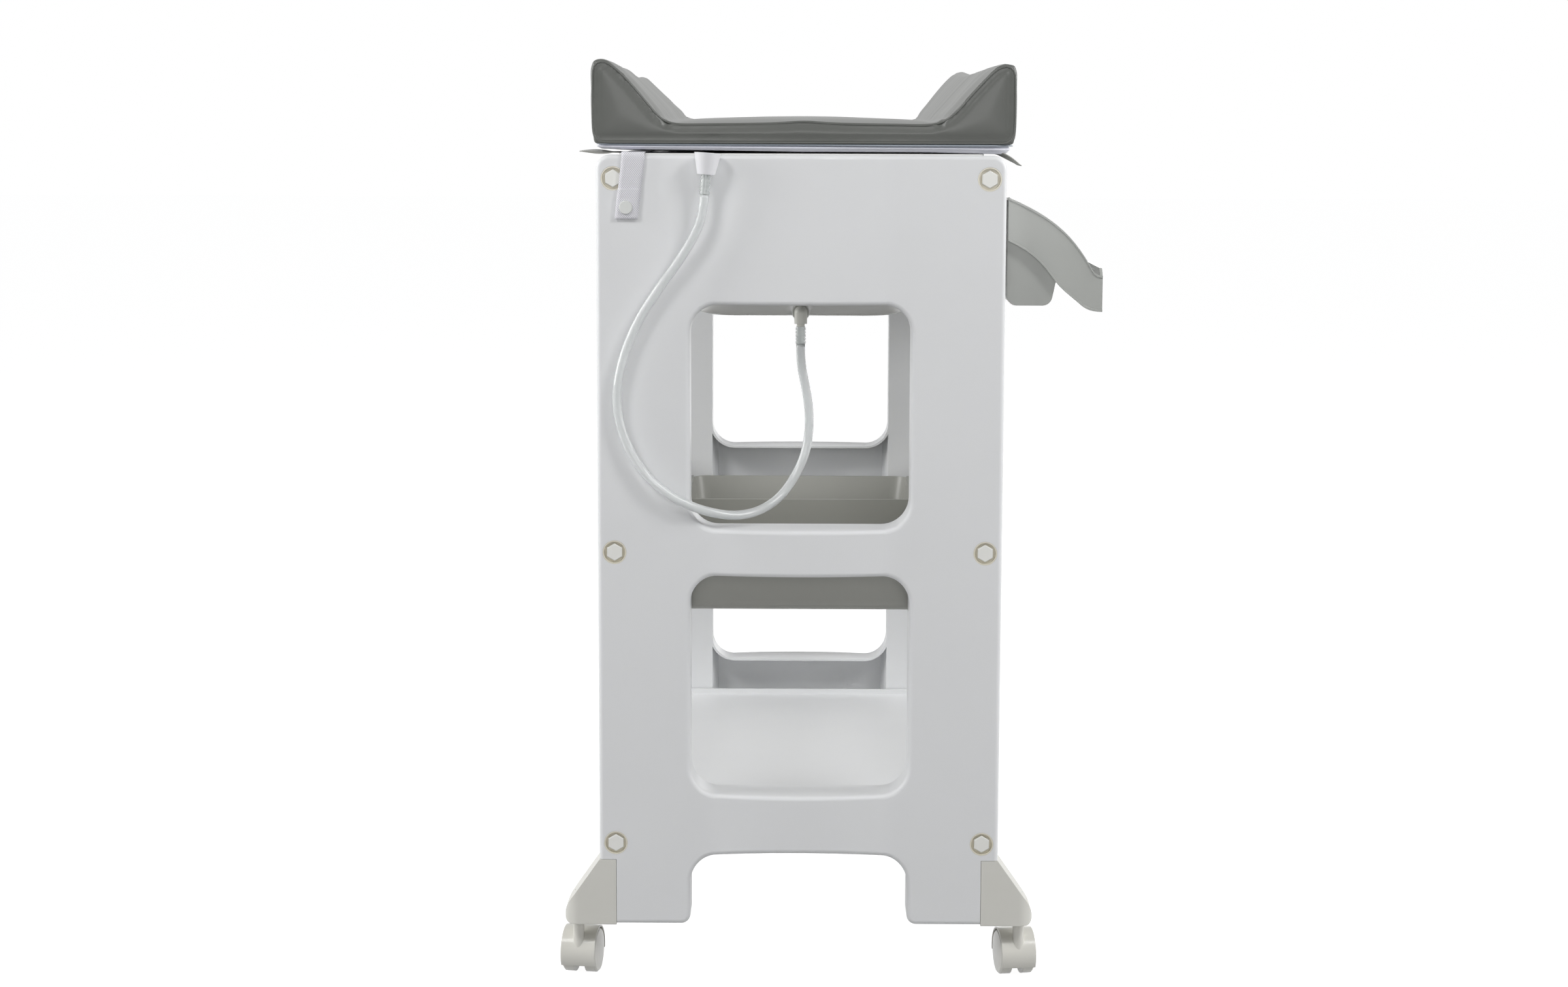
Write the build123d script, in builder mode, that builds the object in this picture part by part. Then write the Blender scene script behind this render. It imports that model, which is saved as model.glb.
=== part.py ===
from build123d import *
import math
import os

# A changing table with a bathtub, in millimetres, +Z up, standing on the floor at Z 0.
# Two moulded end panels face -Y and +Y. The user stands on the +X side, where the accessory
# tray hangs, so the -Y panel is on the user's left. The origin lies on the floor under the
# middle of the whole, which is not the middle of the panels, because the tray stands out.

# Fits that many pieces share
seat_gap = 0.3
running_gap = 0.05
overrun = 20.0

# End panels
table_length = 836.0
panel_width = 445.0
panel_top = 922.6
panel_bottom = 67.0
panel_depth = 46.0
panel_wall = 3.0
panel_corner_radius = 15.0
panel_edge_roll = 5.0
bow_depth = 12.0
bow_blend_radius = 120.0
web_draft = 7.0
window_half_width = 121.0
window_radius = 31.0
upper_window_sill = 514.0
upper_window_head = 760.5
middle_rail_height = 52.0
lower_window_sill = 216.0
arch_top = 151.0
arch_rise = 8.0
arch_radius = 32.0
leg_corner_radius = 10.5
column_rib_wall = 2.5
column_rib_gap = 25.0
lip_wall = 4.0
lip_height = 6.6

# Tie tubes, their inserts, and the bolts and washers in the panels
tie_inset = 18.5
top_tie_drop = 25.6
bottom_tie_height = 160.0
tube_diameter = 22.0
tube_wall = 1.5
tube_socket_depth = 30.0
insert_length = 24.0
boss_diameter = 33.0
bolt_diameter = 10.0
bolt_length = 28.0
bolt_head_across_flats = 17.0
bolt_head_height = 4.6
bolt_chamfer = 0.8
bolt_recess_diameter = 26.2
bolt_recess_depth = 6.0
washer_wall = 1.4
washer_floor = 1.4

# Corner feet
foot_inset = 19.0
foot_height = 75.0
foot_drop = 1.0
foot_stand_out = 39.9
foot_shoulder_rise = 28.0
foot_shoulder_inset = 7.0
foot_widest_rise = 8.0
foot_end_radius = 17.0
foot_heel_shrink = 0.9
tongue_length = 9.0
tongue_height = 34.0
tongue_depth = 24.0
tongue_rise = 24.0

# Castors
stem_stand_out = 25.5
stem_diameter = 8.0
stem_grip = 34.0
stem_shown = 22.0
castor_trail = 20.0
castor_yaw = 9.0
wheel_diameter = 50.0
wheel_width = 13.0
wheel_dome = 1.6
wheel_edge_bevel = 2.0
dome_height_share = 0.65
dome_radius_share = 0.62
wheel_hollow_depth = 1.6
wheel_rim_wall = 5.0
wheel_hub_radius = 7.0
wheel_gap = 13.0
axle_diameter = 6.0
axle_end_wall = 3.0
hood_wall = 1.8
hood_clearance = 1.0
hood_front_height = 8.5
hood_web_gap = 0.6
hood_back_height = 24.0
neck_diameter = 12.5
neck_gap = 0.8

# Bathtub
tub_rim_rise = 1.4
tub_depth = 184.0
tub_wall = 3.0
tub_end_margin = 68.0
tub_side_margin = 46.5
tub_mouth_radius = 75.0
tub_near_lean = 25.0
tub_back_lean = 75.0
tub_side_lean = 42.0
tub_floor_radius = 70.0
tub_bottom_radius = 45.0
tub_rim_radius = 12.0
tub_skirt_drop = 18.0
hook_groove = 4.0

# Drain: outlet boss, elbow and seal at the tub's near end
drain_rise = 7.0
drain_inset = 75.0
outlet_diameter = 20.0
outlet_bore = 9.0
outlet_end_inset = 86.0
outlet_length = 50.0
elbow_diameter = 14.3
elbow_bore = 5.0
elbow_body_drop = 12.0
elbow_neck_diameter = 9.0
elbow_neck_length = 3.0
elbow_plug_length = 14.0
seal_thickness = 2.0
seal_diameter = 18.0

# Ribbed hose connectors and the hose
connector_diameter = 11.6
connector_rib_count = 5
connector_rib_depth = 0.9
rib_share = 0.6
elbow_connector_length = 19.0
cup_connector_length = 21.0
hose_diameter = 10.0
hose_bore = 7.0
hose_lead = 20.0
arc_share = 0.45

# Hose cup, hooked over the near panel's lip
cup_top_diameter = 29.0
cup_bottom_diameter = 19.6
cup_height = 23.0
cup_wall = 1.6
cup_offset = -104.0
cup_stand_off = 18.5
cup_hook_width = 12.0
cup_hook_wall = 1.5
cup_hook_drop = 4.0
cup_lean = 4.5
cup_connector_drop = 41.6

# Accessory tray on the user's side
tray_wall = 3.0
tray_gap = 5.5
tray_depth = 105.0
tray_top_drop = 46.1
tray_back_height = 47.5
tray_fall = 85.5
tray_front_height = 40.0
tray_front_rise = 8.0
tray_end_inset = 50.0
tray_edge_height = 2.6
tray_edge_stand_out = 1.2
tray_front_radius = 14.0
tray_rim_shares = [(0.35, 0.215), (0.63, 0.485), (0.876, 0.895)]
tray_rim_slope = -0.43
tray_floor_shares = [(0.2, 0.15), (0.41, 0.41), (0.538, 0.63), (0.733, 0.86)]
tray_floor_slope = -0.5
bin_depth = 55.0
bin_draft = 6.5
bin_height = 72.0
bin_lip_rise = 30.0
bin_inset = 10.0
bin_length = 300.0
bin_radius = 11.0
tray_hook_drop = 10.0

# Shelves
shelf_wall = 3.0
shelf_end_gap = 1.5
hook_drop = 9.0
middle_shelf_rim_drop = 15.0
middle_shelf_depth = 59.0
middle_shelf_ledge = 44.7
middle_shelf_draft = 8.0
middle_shelf_corner_radius = 22.0
middle_shelf_floor_radius = 12.0
divider_inset = 241.0
lower_shelf_rise = 7.0
lower_shelf_lip = 7.0

# Changing mat
mat_side_overhang = 7.3
mat_end_inset = 5.0
mat_offset = 2.3
base_thickness = 8.0
base_inset = 8.0
base_corner_radius = 16.0
mat_thickness = 23.4
mat_flat_crown = 3.0
wedge_width = 82.7
wedge_rise = 66.4
wedge_crest_radius = 13.0
wedge_dip = 5.0
wedge_end_dip = 1.0
mat_side_draft = 1.8
mat_side_bulge = 1.0
bulge_share = 0.5
mat_slope_bulge = 0.8
mat_crest_turn = 135.0
mat_end_draw = 2.0
mat_end_run = 14.0
mat_end_shares = [0, 0.2, 0.5]
mat_middle_shares = [0, 0.17, 0.33, 0.5, 0.67, 0.83, 1]
mat_seam_gap = 0.4

# Vinyl tabs, straps and snaps of the mat
tab_width = 60.0
tab_hidden_length = 18.0
tab_shown_length = 21.5
tab_thickness = 1.3
tab_end_inset = 12.0
tab_droop = 42.0
tab_droop_length = 20.0
tab_bend_gap = 1.0
tab_corner_radius = 14.0
strap_width = 25.0
strap_thickness = 1.3
strap_inset = 36.2
strap_drop = 70.2
strap_return_length = 35.5
strap_tuck = 30.0
strap_stand_off = 2.2
strap_lean = 3.5
strap_return_share = 0.47
snap_diameter = 15.0
snap_rise = 13.4
snap_cap_thickness = 2.2
snap_post_diameter = 4.0
snap_taper = 20.0

# Sizes worked out from the ones above
left_face = -table_length / 2
left_inner = left_face + panel_depth
half_panel = panel_width / 2
bow_half_width = window_half_width - web_draft
ledge_height = panel_top - lip_height
lower_window_head = upper_window_sill - middle_rail_height
tie_offset = half_panel - tie_inset
tie_heights = {"top": panel_top - top_tie_drop, "middle": upper_window_sill - middle_rail_height / 2,
               "bottom": bottom_tie_height}
tube_radius = tube_diameter / 2
tube_end = left_inner - tube_socket_depth + seat_gap
foot_bottom = panel_bottom - foot_drop
foot_top = foot_bottom + foot_height
foot_reach = half_panel + foot_stand_out
stem_offset = half_panel + stem_stand_out
foot_middle = left_face + panel_depth / 2
wheel_radius = wheel_diameter / 2
hood_inner = wheel_radius + hood_clearance
hood_radius = hood_inner + hood_wall
castor_half_width = wheel_gap / 2 + wheel_width
castor_sine = math.sin(math.radians(castor_yaw))
castor_cosine = math.cos(math.radians(castor_yaw))
castor_reach = (stem_offset - castor_trail * castor_sine + castor_half_width * castor_cosine
                + hood_radius * castor_sine)
tray_back = half_panel + tray_gap
tray_reach = tray_back + tray_depth
middle_x = (castor_reach - tray_reach) / 2
tub_rim_top = panel_top + tub_rim_rise
tub_bottom = tub_rim_top - tub_depth
tub_skirt_face = half_panel - seat_gap
tub_mouth_width = panel_width - 2 * tub_side_margin
tub_mouth_length = table_length - 2 * tub_end_margin
drain_height = tub_bottom + drain_rise
elbow_body_bottom = drain_height - elbow_body_drop
shelf_end = left_inner + shelf_end_gap
mat_width = panel_width + 2 * mat_side_overhang
mat_near = left_face + mat_end_inset
mat_underside = tub_rim_top + 2 * seat_gap + tab_thickness
base_top = mat_underside + base_thickness
strap_offset = strap_inset - half_panel
strap_bottom = panel_top - strap_drop
snap_height = strap_bottom + snap_rise
hook_inside = tie_offset - tube_radius - seat_gap - shelf_wall
hook_outside = tie_offset + tube_radius + seat_gap + shelf_wall

finished = []
os.makedirs("parts", exist_ok=True)


def level(height):
    """A horizontal plane through the middle of the panels."""
    return Plane(origin=(middle_x, 0, height))


def upright(y):
    """A plane that faces -Y, with X to the right and Z up."""
    return Plane(origin=(middle_x, y, 0), x_dir=(1, 0, 0), z_dir=(0, -1, 0))


def side_on(x):
    """A plane that faces +X, with Y to the right and Z up."""
    return Plane(origin=(middle_x + x, 0, 0), x_dir=(0, 1, 0), z_dir=(1, 0, 0))


def spot(x, y, z):
    """A point given from the panels' middle."""
    return (middle_x + x, y, z)


def keep(builder, name):
    """Label a finished piece and write it."""
    builder.part.label = name
    export_step(builder.part, f"parts/{name}.step")
    finished.append(builder.part)
    print(f"{name:28s} {builder.part.volume / 1000:9.1f} cm3")


def skin_line(depth):
    """The panel's bowed skin, so far behind its outer surface, from left to right."""
    angle = 2 * math.degrees(math.atan(bow_depth / bow_half_width))
    full = bow_half_width / math.sin(math.radians(angle))
    start = (-bow_half_width, left_face + depth)
    first = JernArc(start=start, tangent=(1, 0), radius=bow_blend_radius + depth, arc_size=-angle)
    crown = JernArc(start=first @ 1, tangent=first % 1, radius=full - bow_blend_radius - depth,
                    arc_size=2 * angle)
    JernArc(start=crown @ 1, tangent=crown % 1, radius=bow_blend_radius + depth, arc_size=-angle)


def window(sill, head, margin):
    """One window's outline, grown by a margin."""
    with Locations((0, (sill + head) / 2)):
        RectangleRounded(2 * (window_half_width + margin), head - sill + 2 * margin,
                         window_radius + margin, mode=Mode.SUBTRACT)


def arch(margin):
    """The opening between the legs, grown by a margin."""
    half = window_half_width + margin
    spring = arch_top - arch_rise + margin
    with BuildSketch(mode=Mode.PRIVATE) as gap:
        with BuildLine():
            Polyline((half, spring), (half, panel_bottom - overrun), (-half, panel_bottom - overrun),
                     (-half, spring))
            ThreePointArc((-half, spring), (0, arch_top + margin), (half, spring))
        make_face()
        fillet(gap.vertices().group_by(Axis.Y)[-1], arch_radius + margin)
    add(gap.sketch, mode=Mode.SUBTRACT)


def notch_corners():
    """Places of the two feet in the panel's lower corners."""
    return [(side * (half_panel - foot_inset / 2), (foot_top + panel_bottom) / 2) for side in (-1, 1)]


def tie_points():
    """Where the tie tubes meet a panel, seen from its face."""
    return [(side * tie_offset, height) for height in tie_heights.values() for side in (-1, 1)]


# The hollows of the near panel: two cells in each column, joined under the rib between them,
# and the recesses behind the three rails, open to the inner side
with BuildPart() as column_cells:
    cell_low = window_half_width + panel_wall
    cell_high = half_panel - panel_wall
    cell_top = ledge_height - panel_wall
    cell_floor = panel_bottom + panel_wall
    rib_middle = (cell_low + half_panel - foot_inset - panel_wall) / 2
    with BuildSketch(upright(left_face + panel_wall)):
        for side in (-1, 1):
            inner_high = rib_middle - column_rib_wall / 2
            outer_low = rib_middle + column_rib_wall / 2
            with BuildLine():
                Polyline((side * cell_low, cell_floor), (side * inner_high, cell_floor),
                         (side * inner_high, cell_top), (side * cell_low, cell_top), close=True)
            make_face()
            foot_wall = half_panel - foot_inset - panel_wall
            with BuildLine():
                Polyline((side * outer_low, cell_floor), (side * foot_wall, cell_floor),
                         (side * foot_wall, foot_top + panel_wall),
                         (side * cell_high, foot_top + panel_wall),
                         (side * cell_high, cell_top), (side * outer_low, cell_top), close=True)
            make_face()
        with Locations(*[(side * rib_middle, cell_floor + column_rib_gap / 2) for side in (-1, 1)]):
            Rectangle(2 * column_rib_wall, column_rib_gap)
    extrude(amount=-(panel_depth - 2 * panel_wall))

with BuildPart() as rail_recesses:
    with BuildSketch(level(panel_bottom)):
        with BuildLine():
            skin_line(panel_wall)
            Polyline((bow_half_width, left_face + panel_wall), (window_half_width, left_inner),
                     (window_half_width, left_inner + overrun),
                     (-window_half_width, left_inner + overrun),
                     (-window_half_width, left_inner), (-bow_half_width, left_face + panel_wall))
        make_face()
    extrude(amount=ledge_height - panel_wall - panel_bottom)
    with BuildSketch(upright(left_face)):
        with Locations((0, (ledge_height - panel_wall + panel_bottom) / 2)):
            Rectangle(2 * half_panel, ledge_height - panel_wall - panel_bottom)
        window(upper_window_sill, upper_window_head, panel_wall)
        window(lower_window_sill, lower_window_head, panel_wall)
        arch(panel_wall)
    extrude(amount=panel_depth + 2 * overrun, both=True, mode=Mode.INTERSECT)

with BuildPart() as left_end_panel:
    with BuildSketch(level(panel_bottom)):
        with BuildLine():
            skin_line(0)
            Polyline((bow_half_width, left_face), (half_panel, left_face), (half_panel, left_inner),
                     (-half_panel, left_inner), (-half_panel, left_face), (-bow_half_width, left_face))
        make_face()
    extrude(amount=panel_top - panel_bottom)
    with BuildSketch(upright(left_face)) as front:
        with Locations((0, (panel_top + panel_bottom) / 2)):
            Rectangle(panel_width, panel_top - panel_bottom)
        fillet(front.vertices().group_by(Axis.Y)[-1], panel_corner_radius)
        arch(0)
        leg_corners = [v for v in front.vertices().group_by(Axis.Y)[0]
                       if abs(v.X) < half_panel - foot_inset]
        fillet(leg_corners, leg_corner_radius)
        with Locations(*notch_corners()):
            Rectangle(foot_inset, foot_top - panel_bottom, mode=Mode.SUBTRACT)
        window(upper_window_sill, upper_window_head, 0)
        window(lower_window_sill, lower_window_head, 0)
    extrude(amount=panel_depth + overrun, both=True, mode=Mode.INTERSECT)
    outer_edges = left_end_panel.edges().filter_by(
        lambda e: e.bounding_box().max.Y < left_face + seat_gap)
    seams = [e for e in outer_edges if e.bounding_box().size.X < seat_gap
             and abs(e.center().X - middle_x) < bow_half_width + seat_gap]
    notch_side = half_panel - foot_inset - seat_gap
    notch_edges = [e for e in outer_edges if abs(e.center().X - middle_x) > notch_side
                   and e.center().Z < foot_top + seat_gap]
    fillet([e for e in outer_edges if e not in seams and e not in notch_edges], panel_edge_roll)
    add(column_cells.part, mode=Mode.SUBTRACT)
    add(rail_recesses.part, mode=Mode.SUBTRACT)
    with BuildSketch(level(ledge_height)):
        with BuildLine():
            skin_line(lip_wall)
            Polyline((bow_half_width, left_face + lip_wall), (half_panel + overrun, left_face + lip_wall),
                     (half_panel + overrun, left_inner + overrun),
                     (-half_panel - overrun, left_inner + overrun),
                     (-half_panel - overrun, left_face + lip_wall), (-bow_half_width, left_face + lip_wall))
        make_face()
    extrude(amount=lip_height + overrun, mode=Mode.SUBTRACT)
    with BuildSketch(upright(left_face + panel_wall)):
        with Locations(*tie_points()):
            Circle(boss_diameter / 2)
    extrude(amount=-(panel_depth - panel_wall))
    with BuildSketch(upright(left_face)):
        with Locations(*tie_points()):
            Circle(bolt_recess_diameter / 2)
    extrude(amount=-bolt_recess_depth, mode=Mode.SUBTRACT)
    with BuildSketch(upright(left_face)):
        with Locations(*tie_points()):
            Circle(bolt_diameter / 2 + seat_gap)
    extrude(amount=-panel_depth, mode=Mode.SUBTRACT)
    with BuildSketch(upright(left_inner)):
        with Locations(*tie_points()):
            Circle(tube_radius + running_gap)
    extrude(amount=tube_socket_depth, mode=Mode.SUBTRACT)
    for side in (-1, 1):
        with BuildSketch(side_on(side * (half_panel - foot_inset + seat_gap))):
            with Locations((foot_middle, foot_bottom + tongue_rise + tongue_height / 2)):
                Rectangle(tongue_depth + 2 * seat_gap, tongue_height + 2 * seat_gap)
        extrude(amount=-side * (panel_wall + 2 * seat_gap), mode=Mode.SUBTRACT)
keep(left_end_panel, "left_end_panel")

with BuildPart() as right_end_panel:
    mirror(left_end_panel.part, about=Plane.XZ)
keep(right_end_panel, "right_end_panel")


# Tie tubes from panel to panel, with a threaded insert pressed into each end
for height_name, height in tie_heights.items():
    for side_name, side in (("back", -1), ("front", 1)):
        with BuildPart() as tube:
            with BuildSketch(upright(tube_end)):
                with Locations((side * tie_offset, height)):
                    Circle(tube_radius)
                    Circle(tube_radius - tube_wall, mode=Mode.SUBTRACT)
            extrude(amount=2 * tube_end)
        keep(tube, f"{side_name}_{height_name}_tube")

with BuildPart() as left_tube_inserts:
    with BuildSketch(upright(tube_end)):
        with Locations(*tie_points()):
            Circle(tube_radius - tube_wall - running_gap)
            Circle(bolt_diameter / 2 + running_gap, mode=Mode.SUBTRACT)
    extrude(amount=-insert_length)
keep(left_tube_inserts, "left_tube_inserts")

with BuildPart() as right_tube_inserts:
    mirror(left_tube_inserts.part, about=Plane.XZ)
keep(right_tube_inserts, "right_tube_inserts")

# Cupped washers in the panel's recesses, and the hex bolts that stand in them
washer_radius = bolt_recess_diameter / 2 - running_gap
with BuildPart() as left_panel_washers:
    with BuildSketch(upright(left_face + bolt_recess_depth)):
        with Locations(*tie_points()):
            Circle(washer_radius)
            Circle(bolt_diameter / 2 + seat_gap, mode=Mode.SUBTRACT)
    extrude(amount=washer_floor)
    with BuildSketch(upright(left_face + bolt_recess_depth - washer_floor)):
        with Locations(*tie_points()):
            Circle(washer_radius)
            Circle(washer_radius - washer_wall, mode=Mode.SUBTRACT)
    extrude(amount=bolt_recess_depth - washer_floor)
keep(left_panel_washers, "left_panel_washers")

with BuildPart() as right_panel_washers:
    mirror(left_panel_washers.part, about=Plane.XZ)
keep(right_panel_washers, "right_panel_washers")

head_seat = left_face + bolt_recess_depth - washer_floor
with BuildPart() as left_panel_bolts:
    with BuildSketch(upright(head_seat)):
        with Locations(*tie_points()):
            RegularPolygon(bolt_head_across_flats / 2, side_count=6, major_radius=False, rotation=30)
    extrude(amount=bolt_head_height)
    chamfer(left_panel_bolts.faces().filter_by(Axis.Y).group_by(Axis.Y)[0].edges(), bolt_chamfer)
    with BuildSketch(upright(head_seat)):
        with Locations(*tie_points()):
            Circle(bolt_diameter / 2)
    extrude(amount=-bolt_length)
keep(left_panel_bolts, "left_panel_bolts")

with BuildPart() as right_panel_bolts:
    mirror(left_panel_bolts.part, about=Plane.XZ)
keep(right_panel_bolts, "right_panel_bolts")


# Corner feet. The near front one is modelled, the other three are its mirror images.
foot_inner = half_panel - foot_inset + seat_gap
with BuildPart() as foot:
    with BuildSketch(upright(left_face)):
        with BuildLine():
            Polyline((half_panel, foot_top - seat_gap), (foot_inner, foot_top - seat_gap),
                     (foot_inner, foot_bottom), (foot_reach - foot_shoulder_inset, foot_bottom))
            slope = Line((half_panel, foot_top - seat_gap),
                         (foot_reach - foot_shoulder_inset, foot_bottom + foot_shoulder_rise))
            brow = TangentArc(slope @ 1, (foot_reach, foot_bottom + foot_widest_rise), tangent=slope % 1)
            ThreePointArc(brow @ 1, (foot_reach - foot_heel_shrink, foot_bottom + foot_widest_rise / 2),
                          (foot_reach - foot_shoulder_inset, foot_bottom))
        make_face()
    extrude(amount=-panel_depth)
    with BuildSketch(level(foot_bottom)) as foot_plan:
        with Locations(((foot_inner + foot_reach) / 2, foot_middle)):
            Rectangle(foot_reach - foot_inner, panel_depth)
        fillet(foot_plan.vertices().group_by(Axis.X)[-1], foot_end_radius)
    extrude(amount=foot_top - foot_bottom, mode=Mode.INTERSECT)
    with BuildSketch(side_on(foot_inner)):
        with Locations((foot_middle, foot_bottom + tongue_rise + tongue_height / 2)):
            Rectangle(tongue_depth, tongue_height)
    extrude(amount=-(panel_wall + tongue_length))
    with BuildSketch(level(foot_bottom)):
        with Locations((stem_offset, foot_middle)):
            Circle(stem_diameter / 2 + running_gap)
    extrude(amount=stem_grip + seat_gap, mode=Mode.SUBTRACT)


def corner_copy(shape, front, left):
    """The near front corner's piece, mirrored to any of the four corners."""
    if not front:
        shape = shape.mirror(Plane(origin=(middle_x, 0, 0), z_dir=(1, 0, 0)))
    if not left:
        shape = shape.mirror(Plane.XZ)
    return shape


def keep_four(builder, name):
    """Write a corner piece for each of the four corners."""
    for end_name, left in (("left", True), ("right", False)):
        for side_name, front in (("front", True), ("back", False)):
            with BuildPart() as copy:
                add(corner_copy(builder.part, front, left))
            keep(copy, f"{end_name}_{side_name}_{name}")


keep_four(foot, "foot")


# Castors, modelled at the near front corner: the wheels trail behind the stem, a little askew
def castor_level(height):
    """A horizontal plane on the axle's middle, with X along the axle and Y away from the stem."""
    middle = spot(stem_offset - castor_trail * castor_sine,
                  foot_middle + castor_trail * castor_cosine, height)
    return Plane(origin=middle, x_dir=(castor_cosine, castor_sine, 0), z_dir=(0, 0, 1))


def castor_side(x):
    """A plane across the axle, with X away from the stem and Y up from the floor."""
    return Plane(origin=castor_level(0).from_local_coords((x, 0, 0)),
                 x_dir=(-castor_sine, castor_cosine, 0), z_dir=(castor_cosine, castor_sine, 0))


stem_low = foot_bottom - stem_shown
with BuildPart() as castor_stem:
    with BuildSketch(castor_level(stem_low)):
        with Locations((0, -castor_trail)):
            Circle(stem_diameter / 2)
    extrude(amount=foot_bottom + stem_grip - stem_low)
keep_four(castor_stem, "castor_stem")

with BuildPart() as castor_hood:
    for half, inner in ((wheel_gap / 2 + wheel_width, hood_inner), (wheel_gap / 2 - hood_web_gap, 0)):
        with BuildSketch(castor_side(0)):
            with Locations((0, wheel_radius)):
                Circle(hood_radius)
                if inner:
                    Circle(inner, mode=Mode.SUBTRACT)
            with BuildLine():
                Polyline((-hood_radius - overrun, hood_front_height),
                         (hood_radius + overrun, hood_back_height),
                         (hood_radius + overrun, -overrun), (-hood_radius - overrun, -overrun), close=True)
            make_face(mode=Mode.SUBTRACT)
        extrude(amount=half, both=True)
    with BuildSketch(castor_level(wheel_radius)):
        with Locations((0, -castor_trail)):
            Circle(neck_diameter / 2)
    extrude(amount=foot_bottom - neck_gap - wheel_radius)
    with BuildSketch(castor_level(stem_low - seat_gap)):
        with Locations((0, -castor_trail)):
            Circle(stem_diameter / 2 + running_gap)
    extrude(amount=stem_shown + seat_gap, mode=Mode.SUBTRACT)
    with BuildSketch(castor_side(0)):
        with Locations((0, wheel_radius)):
            Circle(axle_diameter / 2 + running_gap)
    extrude(amount=wheel_gap, both=True, mode=Mode.SUBTRACT)
keep_four(castor_hood, "castor_hood")

axle_half = wheel_gap / 2 + wheel_width - axle_end_wall
with BuildPart() as castor_axle:
    with BuildSketch(castor_side(0)):
        with Locations((0, wheel_radius)):
            Circle(axle_diameter / 2)
    extrude(amount=axle_half, both=True)
keep_four(castor_axle, "castor_axle")

for wheel_name, direction in (("inner", -1), ("outer", 1)):
    with BuildPart() as castor_wheel:
        near = direction * wheel_gap / 2
        far = direction * (wheel_gap / 2 + wheel_width)
        hollow = near + direction * wheel_hollow_depth
        brow = far + direction * wheel_dome * dome_height_share
        bore = axle_diameter / 2 + running_gap
        with BuildSketch(castor_level(wheel_radius)):
            with BuildLine():
                Polyline((direction * (axle_half + seat_gap), 0), (direction * (axle_half + seat_gap), bore),
                         (near, bore), (near, wheel_hub_radius), (hollow, wheel_hub_radius),
                         (hollow, wheel_radius - wheel_rim_wall), (near, wheel_radius - wheel_rim_wall),
                         (near, wheel_radius), (far - direction * wheel_edge_bevel, wheel_radius),
                         (far, wheel_radius - wheel_edge_bevel),
                         (brow, wheel_radius * dome_radius_share),
                         (far + direction * wheel_dome, wheel_hub_radius), (far + direction * wheel_dome, 0),
                         close=True)
            make_face()
        revolve(axis=Axis(castor_level(wheel_radius).origin, (castor_cosine, castor_sine, 0)))
    keep_four(castor_wheel, f"{wheel_name}_wheel")


# Bathtub: a rounded trough under a flat rim, which sits on the panels' ledges
def tub_form(inset, low):
    """The trough as a solid, drawn in by an inset, down to a low level."""
    near_end = -tub_mouth_length / 2 + tub_near_lean
    far_end = tub_mouth_length / 2 - tub_back_lean
    with BuildPart() as form:
        with BuildSketch(level(low)):
            with Locations((0, (near_end + far_end) / 2)):
                RectangleRounded(tub_mouth_width - 2 * tub_side_lean - 2 * inset,
                                 far_end - near_end - 2 * inset, tub_floor_radius - inset)
        with BuildSketch(level(tub_rim_top)):
            RectangleRounded(tub_mouth_width - 2 * inset, tub_mouth_length - 2 * inset,
                             tub_mouth_radius - inset)
        loft(ruled=True)
        fillet(form.faces().sort_by(Axis.Z)[0].edges(), tub_bottom_radius - inset)
    return form.part


rim_half_length = table_length / 2 - lip_wall - hook_groove
with BuildPart() as bathtub:
    add(tub_form(0, tub_bottom))
    with BuildSketch(upright(left_face + outlet_end_inset)):
        with Locations((0, drain_height)):
            Circle(outlet_diameter / 2)
    extrude(amount=-outlet_length)
    with BuildSketch(level(tub_rim_top - tub_wall)):
        RectangleRounded(2 * tub_skirt_face, 2 * rim_half_length, tub_rim_radius)
    extrude(amount=tub_wall)
    with BuildSketch(level(ledge_height + seat_gap)):
        RectangleRounded(2 * tub_skirt_face, 2 * rim_half_length, tub_rim_radius)
        RectangleRounded(2 * (tub_skirt_face - tub_wall), 2 * (rim_half_length - tub_wall),
                         tub_rim_radius - tub_wall, mode=Mode.SUBTRACT)
    extrude(amount=tub_rim_top - ledge_height - seat_gap)
    with BuildSketch(level(tub_rim_top - tub_skirt_drop)):
        with Locations(*[(side * (tub_skirt_face - tub_wall / 2), 0) for side in (-1, 1)]):
            Rectangle(tub_wall, -2 * shelf_end)
    extrude(amount=tub_skirt_drop)
    add(tub_form(tub_wall, tub_bottom + tub_wall), mode=Mode.SUBTRACT)
    with BuildSketch(upright(left_face + outlet_end_inset)):
        with Locations((0, drain_height)):
            Circle(outlet_bore / 2)
    extrude(amount=-outlet_length, mode=Mode.SUBTRACT)
keep(bathtub, "bathtub")

# Drain: a seal, the elbow and its ribbed hose connector
outlet_face = left_face + outlet_end_inset
elbow_y = left_face + drain_inset
with BuildPart() as drain_seal:
    with BuildSketch(upright(outlet_face)):
        with Locations((0, drain_height)):
            Circle(seal_diameter / 2)
            Circle(outlet_bore / 2, mode=Mode.SUBTRACT)
    extrude(amount=seal_thickness)
keep(drain_seal, "drain_seal")

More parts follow.
